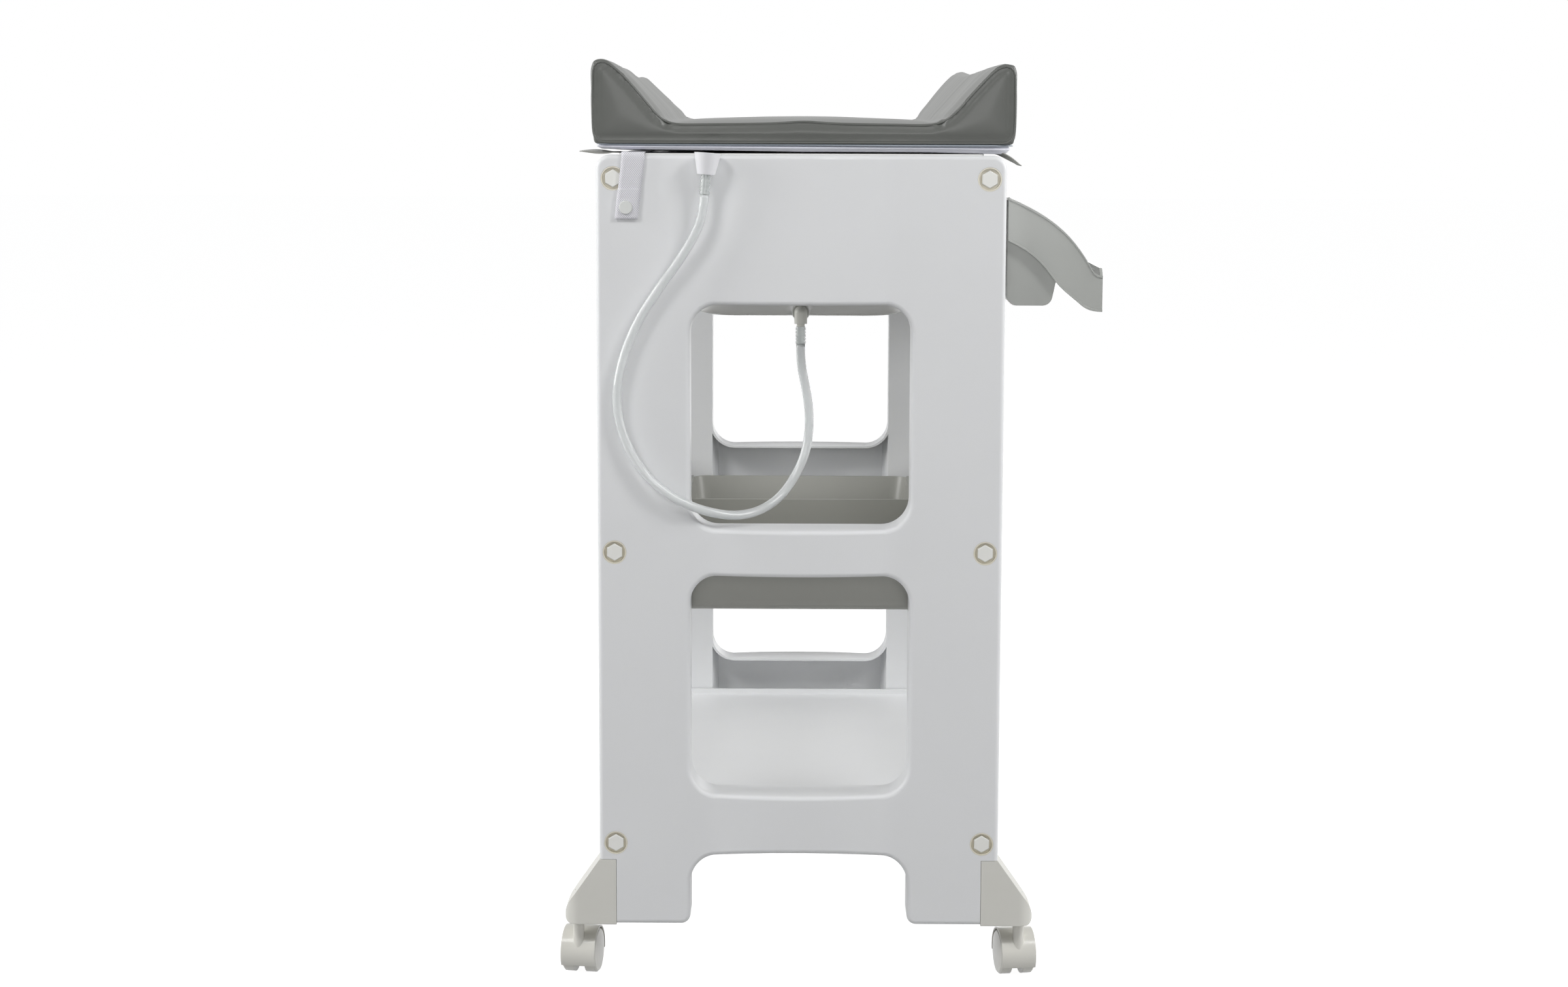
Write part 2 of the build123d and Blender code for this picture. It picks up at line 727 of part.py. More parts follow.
elbow_low = elbow_body_bottom - elbow_neck_length
with BuildPart() as drain_elbow:
    with BuildSketch(upright(elbow_y)):
        with Locations((0, drain_height)):
            Circle(elbow_diameter / 2)
    extrude(amount=-(outlet_face - seal_thickness - elbow_y))
    with BuildSketch(upright(elbow_y)):
        with Locations((0, drain_height)):
            Circle(outlet_bore / 2 - running_gap)
    extrude(amount=-(outlet_face - elbow_y + elbow_plug_length))
    with BuildSketch(level(elbow_body_bottom)):
        with Locations((0, elbow_y)):
            Circle(elbow_diameter / 2)
    extrude(amount=drain_height - elbow_body_bottom)
    with Locations(spot(0, elbow_y, drain_height)):
        Sphere(elbow_diameter / 2)
    with BuildSketch(level(elbow_low)):
        with Locations((0, elbow_y)):
            Circle(elbow_neck_diameter / 2)
    extrude(amount=elbow_neck_length)
    with BuildSketch(upright(elbow_y)):
        with Locations((0, drain_height)):
            Circle(elbow_bore / 2)
    extrude(amount=-(outlet_face - elbow_y + elbow_plug_length), mode=Mode.SUBTRACT)
    with BuildSketch(level(elbow_low)):
        with Locations((0, elbow_y)):
            Circle(elbow_bore / 2)
    extrude(amount=drain_height - elbow_low, mode=Mode.SUBTRACT)
keep(drain_elbow, "drain_elbow")


def ribbed_connector(plane, length):
    """A ribbed sleeve with a bore, standing on a plane."""
    pitch = length / connector_rib_count
    with BuildPart() as sleeve:
        with BuildSketch(Plane(origin=plane.origin, x_dir=plane.x_dir, z_dir=-plane.y_dir)):
            with BuildLine():
                outline = [(hose_bore / 2, 0)]
                for rib in range(connector_rib_count):
                    outline += [(connector_diameter / 2, rib * pitch),
                                (connector_diameter / 2, (rib + rib_share) * pitch),
                                (connector_diameter / 2 - connector_rib_depth, (rib + rib_share) * pitch),
                                (connector_diameter / 2 - connector_rib_depth, (rib + 1) * pitch)]
                Polyline(*outline, (hose_bore / 2, length), close=True)
            make_face()
        revolve(axis=Axis(plane.origin, plane.z_dir))
    return sleeve


elbow_connector_low = elbow_low - elbow_connector_length
elbow_end = Plane(origin=spot(0, elbow_y, elbow_connector_low))
elbow_connector = ribbed_connector(elbow_end, elbow_connector_length)
keep(elbow_connector, "elbow_connector")

# Hose cup: a flared cone on its own ribbed connector, leaning a little, hooked over the lip
lean = math.radians(cup_lean)
cup_bottom = Plane(origin=spot(cup_offset, left_face - cup_stand_off, panel_top - cup_connector_drop),
                   x_dir=(math.cos(lean), 0, -math.sin(lean)), z_dir=(math.sin(lean), 0, math.cos(lean)))
cup_connector = ribbed_connector(cup_bottom, cup_connector_length)
keep(cup_connector, "cup_connector")

with BuildPart() as hose_cup:
    low = cup_bottom.offset(cup_connector_length)
    cup_low_radius = cup_bottom_diameter / 2
    cup_high_radius = cup_top_diameter / 2
    with BuildSketch(Plane(origin=low.origin, x_dir=low.x_dir, z_dir=-low.y_dir)):
        with BuildLine():
            Polyline((hose_bore / 2, 0), (cup_low_radius, 0), (cup_high_radius, cup_height),
                     (cup_high_radius - cup_wall, cup_height), (cup_low_radius - cup_wall, cup_wall),
                     (hose_bore / 2, cup_wall), close=True)
        make_face()
    revolve(axis=Axis(low.origin, low.z_dir))
    hook_x = cup_offset + (cup_connector_length + cup_height) * math.sin(lean)
    hook_back = left_face + lip_wall + seat_gap + cup_hook_wall
    hook_front = left_face - cup_stand_off + cup_high_radius - cup_wall
    with BuildSketch(level(panel_top + seat_gap)):
        with Locations((hook_x, (hook_front + hook_back) / 2)):
            Rectangle(cup_hook_width, hook_back - hook_front)
    extrude(amount=cup_hook_wall)
    with BuildSketch(level(panel_top + seat_gap)):
        with Locations((hook_x, hook_back - cup_hook_wall / 2)):
            Rectangle(cup_hook_width, cup_hook_wall)
    extrude(amount=-cup_hook_drop)
keep(hose_cup, "hose_cup")

# Drain hose: from the elbow's connector up to the cup's, across the near panel's face.
# The route's points are chosen by hand: X from the panels' middle, Y from the near face, Z.
hose_points = [
    (0.0, 75.0, 692.0), (5.0, 75.0, 668.0), (10.0, 75.5, 640.0), (10.0, 76.0, 612.0), (5.0, 74.0, 586.0),
    (-6.0, 68.0, 563.0), (-22.0, 56.0, 542.0), (-44.0, 40.0, 529.0), (-68.0, 20.0, 526.0),
    (-92.0, 0.0, 531.0), (-117.0, -13.0, 540.0), (-145.0, -15.0, 554.0), (-172.0, -13.0, 578.0),
    (-192.0, -11.0, 612.0), (-202.0, -10.0, 655.0), (-195.0, -10.0, 700.0), (-178.0, -10.0, 742.0),
    (-154.0, -10.5, 779.0), (-130.0, -12.0, 811.0), (-113.0, -16.0, 840.0)]
hose_first = spot(0, elbow_y, elbow_connector_low)
hose_last = tuple(cup_bottom.origin)
hose_last_turn = tuple(cup_bottom.origin - cup_bottom.z_dir * hose_lead)
hose_route = ([hose_first] + [spot(x, left_face + y, z) for x, y, z in hose_points]
              + [hose_last_turn, hose_last])


def route_radii(route):
    """The arc radius at each inner point: 0.45 of the shorter run over the tangent of half the turn."""
    radii = []
    for before, here, after in zip(route, route[1:], route[2:]):
        first = Vector(*here) - Vector(*before)
        second = Vector(*after) - Vector(*here)
        turn = math.radians(first.get_angle(second))
        radii.append(arc_share * min(first.length, second.length) / math.tan(turn / 2))
    return radii


hose_radii = route_radii(hose_route)
print("hose radii", [round(radius) for radius in hose_radii])
with BuildPart() as drain_hose:
    with BuildLine() as hose_line:
        FilletPolyline(*hose_route, radius=hose_radii)
    hose_path = hose_line.wire()
    with BuildSketch(Plane(origin=hose_first, z_dir=hose_path % 0)):
        Circle(hose_diameter / 2)
        Circle(hose_bore / 2, mode=Mode.SUBTRACT)
    sweep()
hose_section = math.pi * (hose_diameter ** 2 - hose_bore ** 2) / 4
print("hose length", round(hose_path.length, 1), "volume over section times length",
      round(drain_hose.part.volume / (hose_section * hose_path.length), 4))
keep(drain_hose, "drain_hose")


# Accessory tray on the user's side: wave-shaped end cheeks, a shallow trough and a deep bin,
# hung on the front top tube
def wave(start, end, shares, start_slope, end_slope):
    """A wave-shaped edge, through points given as shares of its reach and its fall."""
    reach = end[0] - start[0]
    fall = end[1] - start[1]
    points = [(start[0] + across * reach, start[1] + down * fall) for across, down in shares]
    return Spline(start, *points, end, tangents=[(1, start_slope), (1, end_slope)])


tray_length = table_length - 2 * tray_end_inset
tray_back_top = panel_top - tray_top_drop
tray_back_bottom = tray_back_top - tray_back_height
tray_front_top = tray_back_top - tray_fall
tray_front_bottom = tray_front_top - tray_front_height
bin_bottom = tray_back_bottom - bin_height
bin_front = tray_back + bin_depth


def tray_rim_line(lift):
    """The cheek's upper edge, lifted or lowered."""
    return wave((tray_back, tray_back_top + lift), (tray_reach, tray_front_top + lift),
                tray_rim_shares, tray_rim_slope, 0)


def tray_floor_line(lift):
    """The cheek's lower edge, lifted by the tray's wall where the inside is wanted."""
    return wave((tray_back, tray_back_bottom + lift), (tray_reach, tray_front_bottom + lift),
                tray_floor_shares, tray_floor_slope, 0)


def between(upper, lower):
    """The face between two of the cheek's lines."""
    Line(upper @ 0, lower @ 0)
    Line(upper @ 1, lower @ 1)


with BuildPart() as accessory_tray:
    with BuildSketch(upright(-tray_length / 2)):
        with BuildLine():
            between(tray_rim_line(0), tray_floor_line(0))
        make_face()
    extrude(amount=-tray_length)
    for upper_edge in (True, False):
        with BuildSketch(upright(-tray_length / 2 - tray_edge_stand_out)):
            with BuildLine():
                if upper_edge:
                    between(tray_rim_line(0), tray_rim_line(-tray_edge_height))
                else:
                    between(tray_floor_line(tray_edge_height), tray_floor_line(0))
            make_face()
        extrude(amount=-(tray_length + 2 * tray_edge_stand_out))
    with BuildSketch(side_on(tray_reach)) as tray_front:
        with Locations((0, (tray_front_top + tray_front_rise + tray_front_bottom) / 2)):
            Rectangle(tray_length, tray_front_top + tray_front_rise - tray_front_bottom)
        fillet(tray_front.vertices().group_by(Axis.Y)[-1], tray_front_radius)
    extrude(amount=-tray_wall)
    bin_near = -tray_length / 2 + bin_inset
    with BuildSketch(upright(bin_near)) as bin_outside:
        with BuildLine():
            Polyline((tray_back, tray_back_bottom + tray_wall), (tray_back, bin_bottom),
                     (bin_front - bin_draft, bin_bottom), (bin_front, bin_bottom + bin_lip_rise),
                     (bin_front, tray_back_bottom), close=True)
        make_face()
        fillet(bin_outside.vertices().group_by(Axis.Y)[0], bin_radius)
    extrude(amount=-bin_length)
    with BuildSketch(upright(-tray_length / 2 + tray_wall)):
        with BuildLine():
            inside_line = tray_floor_line(tray_wall)
            Polyline((tray_reach, tray_front_bottom + tray_wall), (tray_reach, tray_back_top + overrun),
                     (tray_back, tray_back_top + overrun), (tray_back, tray_back_bottom + tray_wall))
        make_face()
        with Locations((tray_back, tray_back_bottom), (tray_reach, tray_back_bottom)):
            Rectangle(2 * tray_wall, table_length, mode=Mode.SUBTRACT)
    extrude(amount=-(tray_length - 2 * tray_wall), mode=Mode.SUBTRACT)
    with BuildSketch(upright(bin_near + tray_wall)) as bin_inside:
        with BuildLine():
            Polyline((tray_back + tray_wall, tray_back_top), (tray_back + tray_wall, bin_bottom + tray_wall),
                     (bin_front - bin_draft - tray_wall, bin_bottom + tray_wall),
                     (bin_front - tray_wall, bin_bottom + bin_lip_rise),
                     (bin_front - tray_wall, tray_back_top), close=True)
        make_face()
        fillet(bin_inside.vertices().group_by(Axis.Y)[0], bin_radius - tray_wall)
    extrude(amount=-(bin_length - 2 * tray_wall), mode=Mode.SUBTRACT)
    tube_top = tie_heights["top"] + tube_radius + seat_gap
    with BuildSketch(upright(-tray_length / 2)):
        with BuildLine():
            Polyline((tray_back + tray_wall / 2, tray_back_top - shelf_wall),
                     (hook_outside - shelf_wall, tray_back_top - shelf_wall),
                     (hook_outside - shelf_wall, tube_top), (hook_inside + shelf_wall, tube_top),
                     (hook_inside + shelf_wall, tube_top - tray_hook_drop),
                     (hook_inside, tube_top - tray_hook_drop), (hook_inside, tube_top + shelf_wall),
                     (hook_outside, tube_top + shelf_wall), (hook_outside, tray_back_top),
                     (tray_back + tray_wall / 2, tray_back_top), close=True)
        make_face()
    extrude(amount=-tray_length)
keep(accessory_tray, "accessory_tray")


# Shelves, which hook over the tie tubes on both sides
def side_hooks(height, low, rim_inside):
    """Both edges of a shelf, from its rim up the tube's inner side, over it and down again."""
    top = height + tube_radius + seat_gap
    with BuildSketch(upright(shelf_end)) as edges:
        for side in (-1, 1):
            with BuildLine():
                Polyline((side * rim_inside, low), (side * (hook_inside + shelf_wall), low),
                         (side * (hook_inside + shelf_wall), top), (side * (hook_outside - shelf_wall), top),
                         (side * (hook_outside - shelf_wall), top - hook_drop),
                         (side * hook_outside, top - hook_drop), (side * hook_outside, top + shelf_wall),
                         (side * hook_inside, top + shelf_wall), (side * hook_inside, low + shelf_wall),
                         (side * rim_inside, low + shelf_wall), close=True)
            make_face()
    return edges.sketch


middle_shelf_rim = tie_heights["middle"] - middle_shelf_rim_drop
middle_shelf_bottom = middle_shelf_rim - middle_shelf_depth
middle_shelf_mouth_width = 2 * (hook_inside - middle_shelf_ledge)
lower_shelf_floor = tie_heights["bottom"] + lower_shelf_rise


def shelf_form(inset, low):
    """The middle shelf's trough as a solid, drawn in by an inset, down to a low level."""
    mouth = middle_shelf_mouth_width + 2 * (shelf_wall - inset)
    floor = mouth - 2 * middle_shelf_draft
    radius = middle_shelf_corner_radius - inset
    length = -2 * shelf_end - 2 * inset
    with BuildPart() as form:
        with BuildSketch(level(low)):
            RectangleRounded(floor, length - 2 * middle_shelf_draft, radius)
        with BuildSketch(level(middle_shelf_rim)):
            RectangleRounded(mouth, length, radius)
        loft(ruled=True)
        fillet(form.faces().sort_by(Axis.Z)[0].edges(), middle_shelf_floor_radius - inset)
    return form.part


divider_y = -left_inner - divider_inset
with BuildPart() as shelf_divider:
    with BuildSketch(upright(divider_y - shelf_wall / 2)):
        with Locations((0, (middle_shelf_bottom + middle_shelf_rim) / 2)):
            Rectangle(middle_shelf_mouth_width, middle_shelf_rim - middle_shelf_bottom)
    extrude(amount=-shelf_wall)
    add(shelf_form(shelf_wall / 2, middle_shelf_bottom + shelf_wall / 2), mode=Mode.INTERSECT)

with BuildPart() as middle_shelf:
    add(shelf_form(0, middle_shelf_bottom))
    add(shelf_form(shelf_wall, middle_shelf_bottom + shelf_wall), mode=Mode.SUBTRACT)
    add(shelf_divider.part)
    extrude(side_hooks(tie_heights["middle"], middle_shelf_rim - shelf_wall,
                       middle_shelf_mouth_width / 2 + shelf_wall / 2), amount=2 * shelf_end)
keep(middle_shelf, "middle_shelf")

with BuildPart() as lower_shelf:
    with BuildSketch(level(lower_shelf_floor - shelf_wall)):
        Rectangle(2 * hook_inside, -2 * shelf_end)
    extrude(amount=shelf_wall)
    with BuildSketch(level(lower_shelf_floor - shelf_wall)):
        Rectangle(2 * (hook_inside + shelf_wall), -2 * shelf_end)
        Rectangle(2 * hook_inside, -2 * shelf_end - 2 * shelf_wall, mode=Mode.SUBTRACT)
    extrude(amount=shelf_wall + lower_shelf_lip)
    extrude(side_hooks(tie_heights["bottom"], lower_shelf_floor - shelf_wall, hook_inside - shelf_wall),
            amount=2 * shelf_end)
keep(lower_shelf, "lower_shelf")


# Changing mat: a padded body with two side wedges, on a stiff white base
mat_flat_height = base_top + mat_thickness
wedge_top = mat_flat_height + wedge_rise


def mat_section(y, draw, dip):
    """The mat across its width at one place along it, drawn in and dipped at the crests."""
    half = mat_width / 2 - draw
    low = base_top + mat_seam_gap
    crest = wedge_top - dip
    inside = mat_width / 2 - wedge_width
    radius = wedge_crest_radius
    with BuildSketch(upright(y)) as section:
        with Locations((mat_offset, 0)):
            with BuildLine():
                for side in (-1, 1):
                    hub = (side * (half - radius), crest - radius)
                    outer = (side * half, crest - radius)
                    over = (hub[0] + side * radius * math.cos(math.radians(mat_crest_turn / 2)),
                            hub[1] + radius * math.sin(math.radians(mat_crest_turn / 2)))
                    shoulder = (hub[0] + side * radius * math.cos(math.radians(mat_crest_turn)),
                                hub[1] + radius * math.sin(math.radians(mat_crest_turn)))
                    corner = (side * inside, mat_flat_height)
                    ThreePointArc((side * (half - mat_side_draft), low),
                                  (side * (half + mat_side_bulge - mat_side_draft / 2 - draw * bulge_share),
                                   (low + crest) / 2), outer)
                    ThreePointArc(outer, over, shoulder)
                    ThreePointArc(shoulder, ((shoulder[0] + corner[0]) / 2 - side * mat_slope_bulge,
                                             (shoulder[1] + corner[1]) / 2 + mat_slope_bulge), corner)
                ThreePointArc((-inside, mat_flat_height),
                              (0, mat_flat_height + mat_flat_crown - draw * bulge_share),
                              (inside, mat_flat_height))
                Line((mat_side_draft - half, low), (half - mat_side_draft, low))
            make_face()
    return section.sketch


mat_stations = []
for share in mat_end_shares:
    closing = 1 - math.sqrt(1 - (1 - share) ** 2)
    mat_stations.append((mat_near + share * mat_end_run, mat_end_draw * closing, wedge_end_dip * closing))
for share in mat_middle_shares:
    mat_stations.append((mat_near + mat_end_run + share * (-2 * mat_near - 2 * mat_end_run), 0,
                         wedge_dip * math.sin(math.pi * share)))
mat_stations += [(-y, draw, dip) for y, draw, dip in reversed(mat_stations) if y < mat_near + mat_end_run]
with BuildPart() as mat_cushion:
    loft(sections=[mat_section(y, draw, dip) for y, draw, dip in mat_stations], ruled=True)
keep(mat_cushion, "mat_cushion")

with BuildPart() as mat_base:
    with BuildSketch(level(mat_underside)):
        with Locations((mat_offset, 0)):
            RectangleRounded(mat_width - 2 * base_inset, -2 * mat_near - 2 * base_inset, base_corner_radius)
    extrude(amount=base_thickness)
keep(mat_base, "mat_base")

# Vinyl tabs under the mat's ends: one lies flat, the one on the user's side droops
tab_top = mat_underside - seat_gap
tab_y = mat_near + tab_end_inset + tab_width / 2
base_half = mat_width / 2 - base_inset
with BuildPart() as left_mat_tabs:
    with BuildSketch(level(tab_top)) as flat_tab:
        with Locations((mat_offset - base_half + (tab_hidden_length - tab_shown_length) / 2, tab_y)):
            Rectangle(tab_hidden_length + tab_shown_length, tab_width)
        fillet(flat_tab.vertices().group_by(Axis.X)[0], tab_corner_radius)
    extrude(amount=-tab_thickness)
    droop = math.radians(tab_droop)
    with BuildSketch(upright(tab_y - tab_width / 2)):
        with BuildLine():
            inner = (mat_offset + base_half - tab_hidden_length, tab_top)
            bend = (tub_skirt_face + tab_thickness + tab_bend_gap, tab_top)
            tip = (bend[0] + tab_droop_length * math.cos(droop),
                   bend[1] - tab_droop_length * math.sin(droop))
            Polyline(inner, bend, tip,
                     (tip[0] - tab_thickness * math.sin(droop), tip[1] - tab_thickness * math.cos(droop)),
                     (bend[0] - tab_thickness * math.tan(droop / 2), bend[1] - tab_thickness),
                     (inner[0], inner[1] - tab_thickness), close=True)
        make_face()
    extrude(amount=-tab_width)
keep(left_mat_tabs, "left_mat_tabs")

with BuildPart() as right_mat_tabs:
    mirror(left_mat_tabs.part, about=Plane.XZ)
keep(right_mat_tabs, "right_mat_tabs")

# Webbing straps: tucked under the mat's ends, hanging in front of the panels, folded back once
strap_face = left_face - strap_stand_off
with BuildPart() as left_strap:
    with BuildSketch(level(mat_underside - seat_gap)):
        with Locations((strap_offset + strap_lean, (strap_face + mat_near + strap_tuck) / 2)):
            Rectangle(strap_width, mat_near + strap_tuck - strap_face + 2 * strap_thickness)
    extrude(amount=-strap_thickness)
    strap_layers = ((strap_face, mat_underside - seat_gap, 1),
                    (strap_face - strap_thickness, strap_bottom + strap_return_length, strap_return_share))
    for layer_face, layer_top, share in strap_layers:
        with BuildSketch(upright(layer_face)):
            with BuildLine():
                low_x = strap_offset - strap_lean
                high_x = low_x + 2 * strap_lean * share
                half = strap_width / 2
                Polyline((low_x - half, strap_bottom), (low_x + half, strap_bottom),
                         (high_x + half, layer_top), (high_x - half, layer_top), close=True)
            make_face()
        extrude(amount=strap_thickness)
    with BuildSketch(upright(strap_face)):
        with Locations((strap_offset - strap_lean, snap_height)):
            Circle(snap_post_diameter / 2 + running_gap)
    extrude(amount=2 * strap_thickness + overrun, both=True, mode=Mode.SUBTRACT)
keep(left_strap, "left_strap")

with BuildPart() as right_strap:
    mirror(left_strap.part, about=Plane.XZ)
keep(right_strap, "right_strap")

with BuildPart() as left_snap:
    with BuildSketch(upright(strap_face - 2 * strap_thickness)):
        with Locations((strap_offset - strap_lean, snap_height)):
            Circle(snap_diameter / 2)
    extrude(amount=snap_cap_thickness, taper=snap_taper)
    with BuildSketch(upright(strap_face)):
        with Locations((strap_offset - strap_lean, snap_height)):
            Circle(snap_diameter / 2)
    extrude(amount=-(strap_stand_off - 2 * seat_gap))
    with BuildSketch(upright(strap_face - 2 * strap_thickness)):
        with Locations((strap_offset - strap_lean, snap_height)):
            Circle(snap_post_diameter / 2)
    extrude(amount=-2 * strap_thickness)
keep(left_snap, "left_snap")

with BuildPart() as right_snap:
    mirror(left_snap.part, about=Plane.XZ)
keep(right_snap, "right_snap")

whole = Compound(children=finished).bounding_box()
print("whole", [round(value, 1) for value in (*whole.min, *whole.max)], "pieces", len(finished))
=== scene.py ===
# %% [markdown]
# # A changing table with a bathtub
# Two moulded white end panels carry a padded mat, a bathtub under it, two shelves and a tray,
# and the table stands on four castors. The rigid pieces come from the CAD frame, in metres,
# with Z up. This script dresses them: it gives every surface a finish, and makes the soft and
# small pieces that a solid modeller doesn't show well.

# %% Load the frame
import math

import bmesh
import bpy
import numpy as np
from mathutils import Matrix, Vector, noise
from mathutils.bvhtree import BVHTree
from mathutils.kdtree import KDTree


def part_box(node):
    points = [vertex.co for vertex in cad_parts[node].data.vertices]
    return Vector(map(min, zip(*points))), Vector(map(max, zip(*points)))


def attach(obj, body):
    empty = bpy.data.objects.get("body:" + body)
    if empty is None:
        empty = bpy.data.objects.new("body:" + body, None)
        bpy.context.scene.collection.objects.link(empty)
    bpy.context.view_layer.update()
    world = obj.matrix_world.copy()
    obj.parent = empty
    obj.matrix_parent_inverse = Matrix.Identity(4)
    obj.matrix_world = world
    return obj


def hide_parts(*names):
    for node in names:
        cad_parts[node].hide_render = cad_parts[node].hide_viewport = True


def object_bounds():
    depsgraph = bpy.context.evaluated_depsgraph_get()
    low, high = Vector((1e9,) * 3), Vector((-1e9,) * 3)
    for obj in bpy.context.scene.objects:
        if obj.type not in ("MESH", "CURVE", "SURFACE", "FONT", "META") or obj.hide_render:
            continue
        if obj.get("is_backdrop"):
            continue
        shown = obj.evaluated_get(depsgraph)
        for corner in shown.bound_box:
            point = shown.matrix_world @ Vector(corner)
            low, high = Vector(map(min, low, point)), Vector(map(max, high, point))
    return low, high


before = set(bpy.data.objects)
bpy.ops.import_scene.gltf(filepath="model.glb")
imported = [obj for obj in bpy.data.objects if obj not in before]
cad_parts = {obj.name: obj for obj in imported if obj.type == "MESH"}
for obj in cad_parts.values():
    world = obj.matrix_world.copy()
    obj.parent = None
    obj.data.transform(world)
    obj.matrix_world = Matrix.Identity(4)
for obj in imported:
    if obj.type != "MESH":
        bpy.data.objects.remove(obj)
cad_box = [list(corner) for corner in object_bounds()]
scene = bpy.context.scene
print("nodes", len(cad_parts), "box", [[round(v, 4) for v in corner] for corner in cad_box])

# %% [markdown]
# ## Places that everything else follows
# The end panels give the middle of the table, and the mat's two solids give the space that the
# soft pieces have to fill. Reading them from the frame, instead of typing them, keeps the
# dressing in place when the model changes. Only the plane that the near panel bows from is typed,
# because the panel's box includes its bow.

# %% Places read from the frame
MM = 0.001
panel_low, panel_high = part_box("left_end_panel")
middle_x = (panel_low[0] + panel_high[0]) / 2
mat_low, mat_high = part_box("mat_cushion")
base_low, base_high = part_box("mat_base")
mat_x = (base_low[0] + base_high[0]) / 2
mat_shift = mat_x - (mat_low[0] + mat_high[0]) / 2
near_face = -418 * MM
print("middle of the panels at x", round(middle_x, 4))


def at(x, y, z):
    """A point in the frame, from millimetres measured from the panels' middle plane."""
    return Vector((middle_x + x * MM, y * MM, z * MM))


# %% [markdown]
# ## Camera
# The photograph looks at the near end panel from about three metres, slightly from above the
# height of the mat. Its lens and place were worked out from the panel's edges: they run to one
# point far above the table's middle, which gives the downward tilt, and the ratio of near to
# far edges gives the distance. A small turn to the left and a small roll complete it.

# %% Camera
PHOTO_WIDTH_PX = 2400
FOCAL_PX = 4308
SENSOR_MM = 36
CAMERA_PLACE_MM = (0, -3479, 965.4)
CAMERA_TILT_DEG = 7.655
CAMERA_TURN_DEG = 0.33
CAMERA_ROLL_DEG = 0.18

camera_data = bpy.data.cameras.new("camera")
camera_data.sensor_width = SENSOR_MM
camera_data.lens = FOCAL_PX * SENSOR_MM / PHOTO_WIDTH_PX
camera = bpy.data.objects.new("camera", camera_data)
scene.collection.objects.link(camera)
camera.location = at(*CAMERA_PLACE_MM)
camera.rotation_mode = "QUATERNION"
turn = Matrix.Rotation(math.radians(CAMERA_TURN_DEG), 3, "Z")
tilt = Matrix.Rotation(math.radians(90 - CAMERA_TILT_DEG), 3, "X")
roll = Matrix.Rotation(math.radians(CAMERA_ROLL_DEG), 3, "Z")
camera.rotation_quaternion = (turn @ tilt @ roll).to_quaternion()
scene.camera = camera
print("lens", round(camera_data.lens, 2), "mm")

# %% [markdown]
# ## Helpers for materials
# Colours are written as the eye sees them, in sRGB hex, and the shader wants linear light, so
# one function converts them. Another adds a node with its settings and its links, so that a
# material reads as a list of what it is made of, and the last step feeds its surface shader.

# %% Colour and node helpers


def linear(code):
    """A colour written as six hex digits, as linear light with full opacity."""
    values = [int(code[i:i + 2], 16) / 255 for i in (0, 2, 4)]
    return (*[v / 12.92 if v <= 0.04045 else ((v + 0.055) / 1.055) ** 2.4 for v in values], 1.0)


def feed(tree, node, inputs):
    """Give a node's inputs their values: constants or other nodes' sockets."""
    for name, value in inputs.items():
        if isinstance(value, bpy.types.NodeSocket):
            tree.links.new(value, node.inputs[name])
        else:
            node.inputs[name].default_value = value


def put(tree, kind, inputs=None, **settings):
    """Add a node with its settings, and feed its inputs."""
    made = tree.nodes.new(kind)
    for name, value in settings.items():
        setattr(made, name, value)
    feed(tree, made, inputs or {})
    return made


def new_material(name):
    """An empty material, its tree, its surface shader and its object coordinates."""
    material = bpy.data.materials.new(name)
    material.use_nodes = True
    tree = material.node_tree
    tree.nodes.clear()
    shader = put(tree, "ShaderNodeBsdfPrincipled")
    put(tree, "ShaderNodeOutputMaterial", {"Surface": shader.outputs[0]})
    place = put(tree, "ShaderNodeTexCoord").outputs["Object"]
    print("material", name)
    return material, tree, shader, place


# %% [markdown]
# ## Moulded plastics
# The panels are injection-moulded polypropylene: a soft, slightly waxy surface with a faint
# spark-eroded grain from the mould, and edges that catch the light because no mould corner is
# quite sharp. A Bevel node rounds the shading at the edges by that small radius. The colour
# drifts by a percent or two over a hand's width, as it does where the wall cools unevenly. The
# real grain is too fine to show here, so it is drawn about a millimetre wide.

# %% Moulded plastic
DRIFT_MM = 111
POLISH_SPREAD = (-0.04, 0.05)
GRAIN_MM = 0.9
GRAIN_BUMP = 0.2 * MM


def moulded_plastic(name, colour, shade, roughness, grain_height=0.04, edge_mm=0.8, coat=0.0,
                    scatter=0.0):
    """Injection-moulded plastic: two near colours, a fine grain and softened edges."""
    material, tree, shader, place = new_material(name)
    drift = put(tree, "ShaderNodeTexNoise", {"Vector": place, "Scale": 1 / (DRIFT_MM * MM),
                                             "Detail": 3.0})
    tone = put(tree, "ShaderNodeMix", {"Factor": drift.outputs["Fac"], "A": linear(colour),
                                       "B": linear(shade)}, data_type="RGBA")
    grain = put(tree, "ShaderNodeTexNoise", {"Vector": place, "Scale": 1 / (GRAIN_MM * MM),
                                             "Detail": 2.0})
    polish = put(tree, "ShaderNodeMapRange", {"Value": grain.outputs["Fac"],
                                              "To Min": roughness + POLISH_SPREAD[0],
                                              "To Max": roughness + POLISH_SPREAD[1]})
    edge = put(tree, "ShaderNodeBevel", {"Radius": edge_mm * MM}, samples=6)
    bump = put(tree, "ShaderNodeBump", {"Height": grain.outputs["Fac"], "Strength": grain_height,
                                        "Distance": GRAIN_BUMP, "Normal": edge.outputs["Normal"]})
    feed(tree, shader, {"Base Color": tone.outputs["Result"], "Roughness": polish.outputs["Result"],
                        "Normal": bump.outputs["Normal"], "IOR": 1.49, "Coat Weight": coat,
                        "Coat Roughness": 0.08, "Subsurface Weight": scatter,
                        "Subsurface Radius": (0.004, 0.004, 0.0035)})
    return material


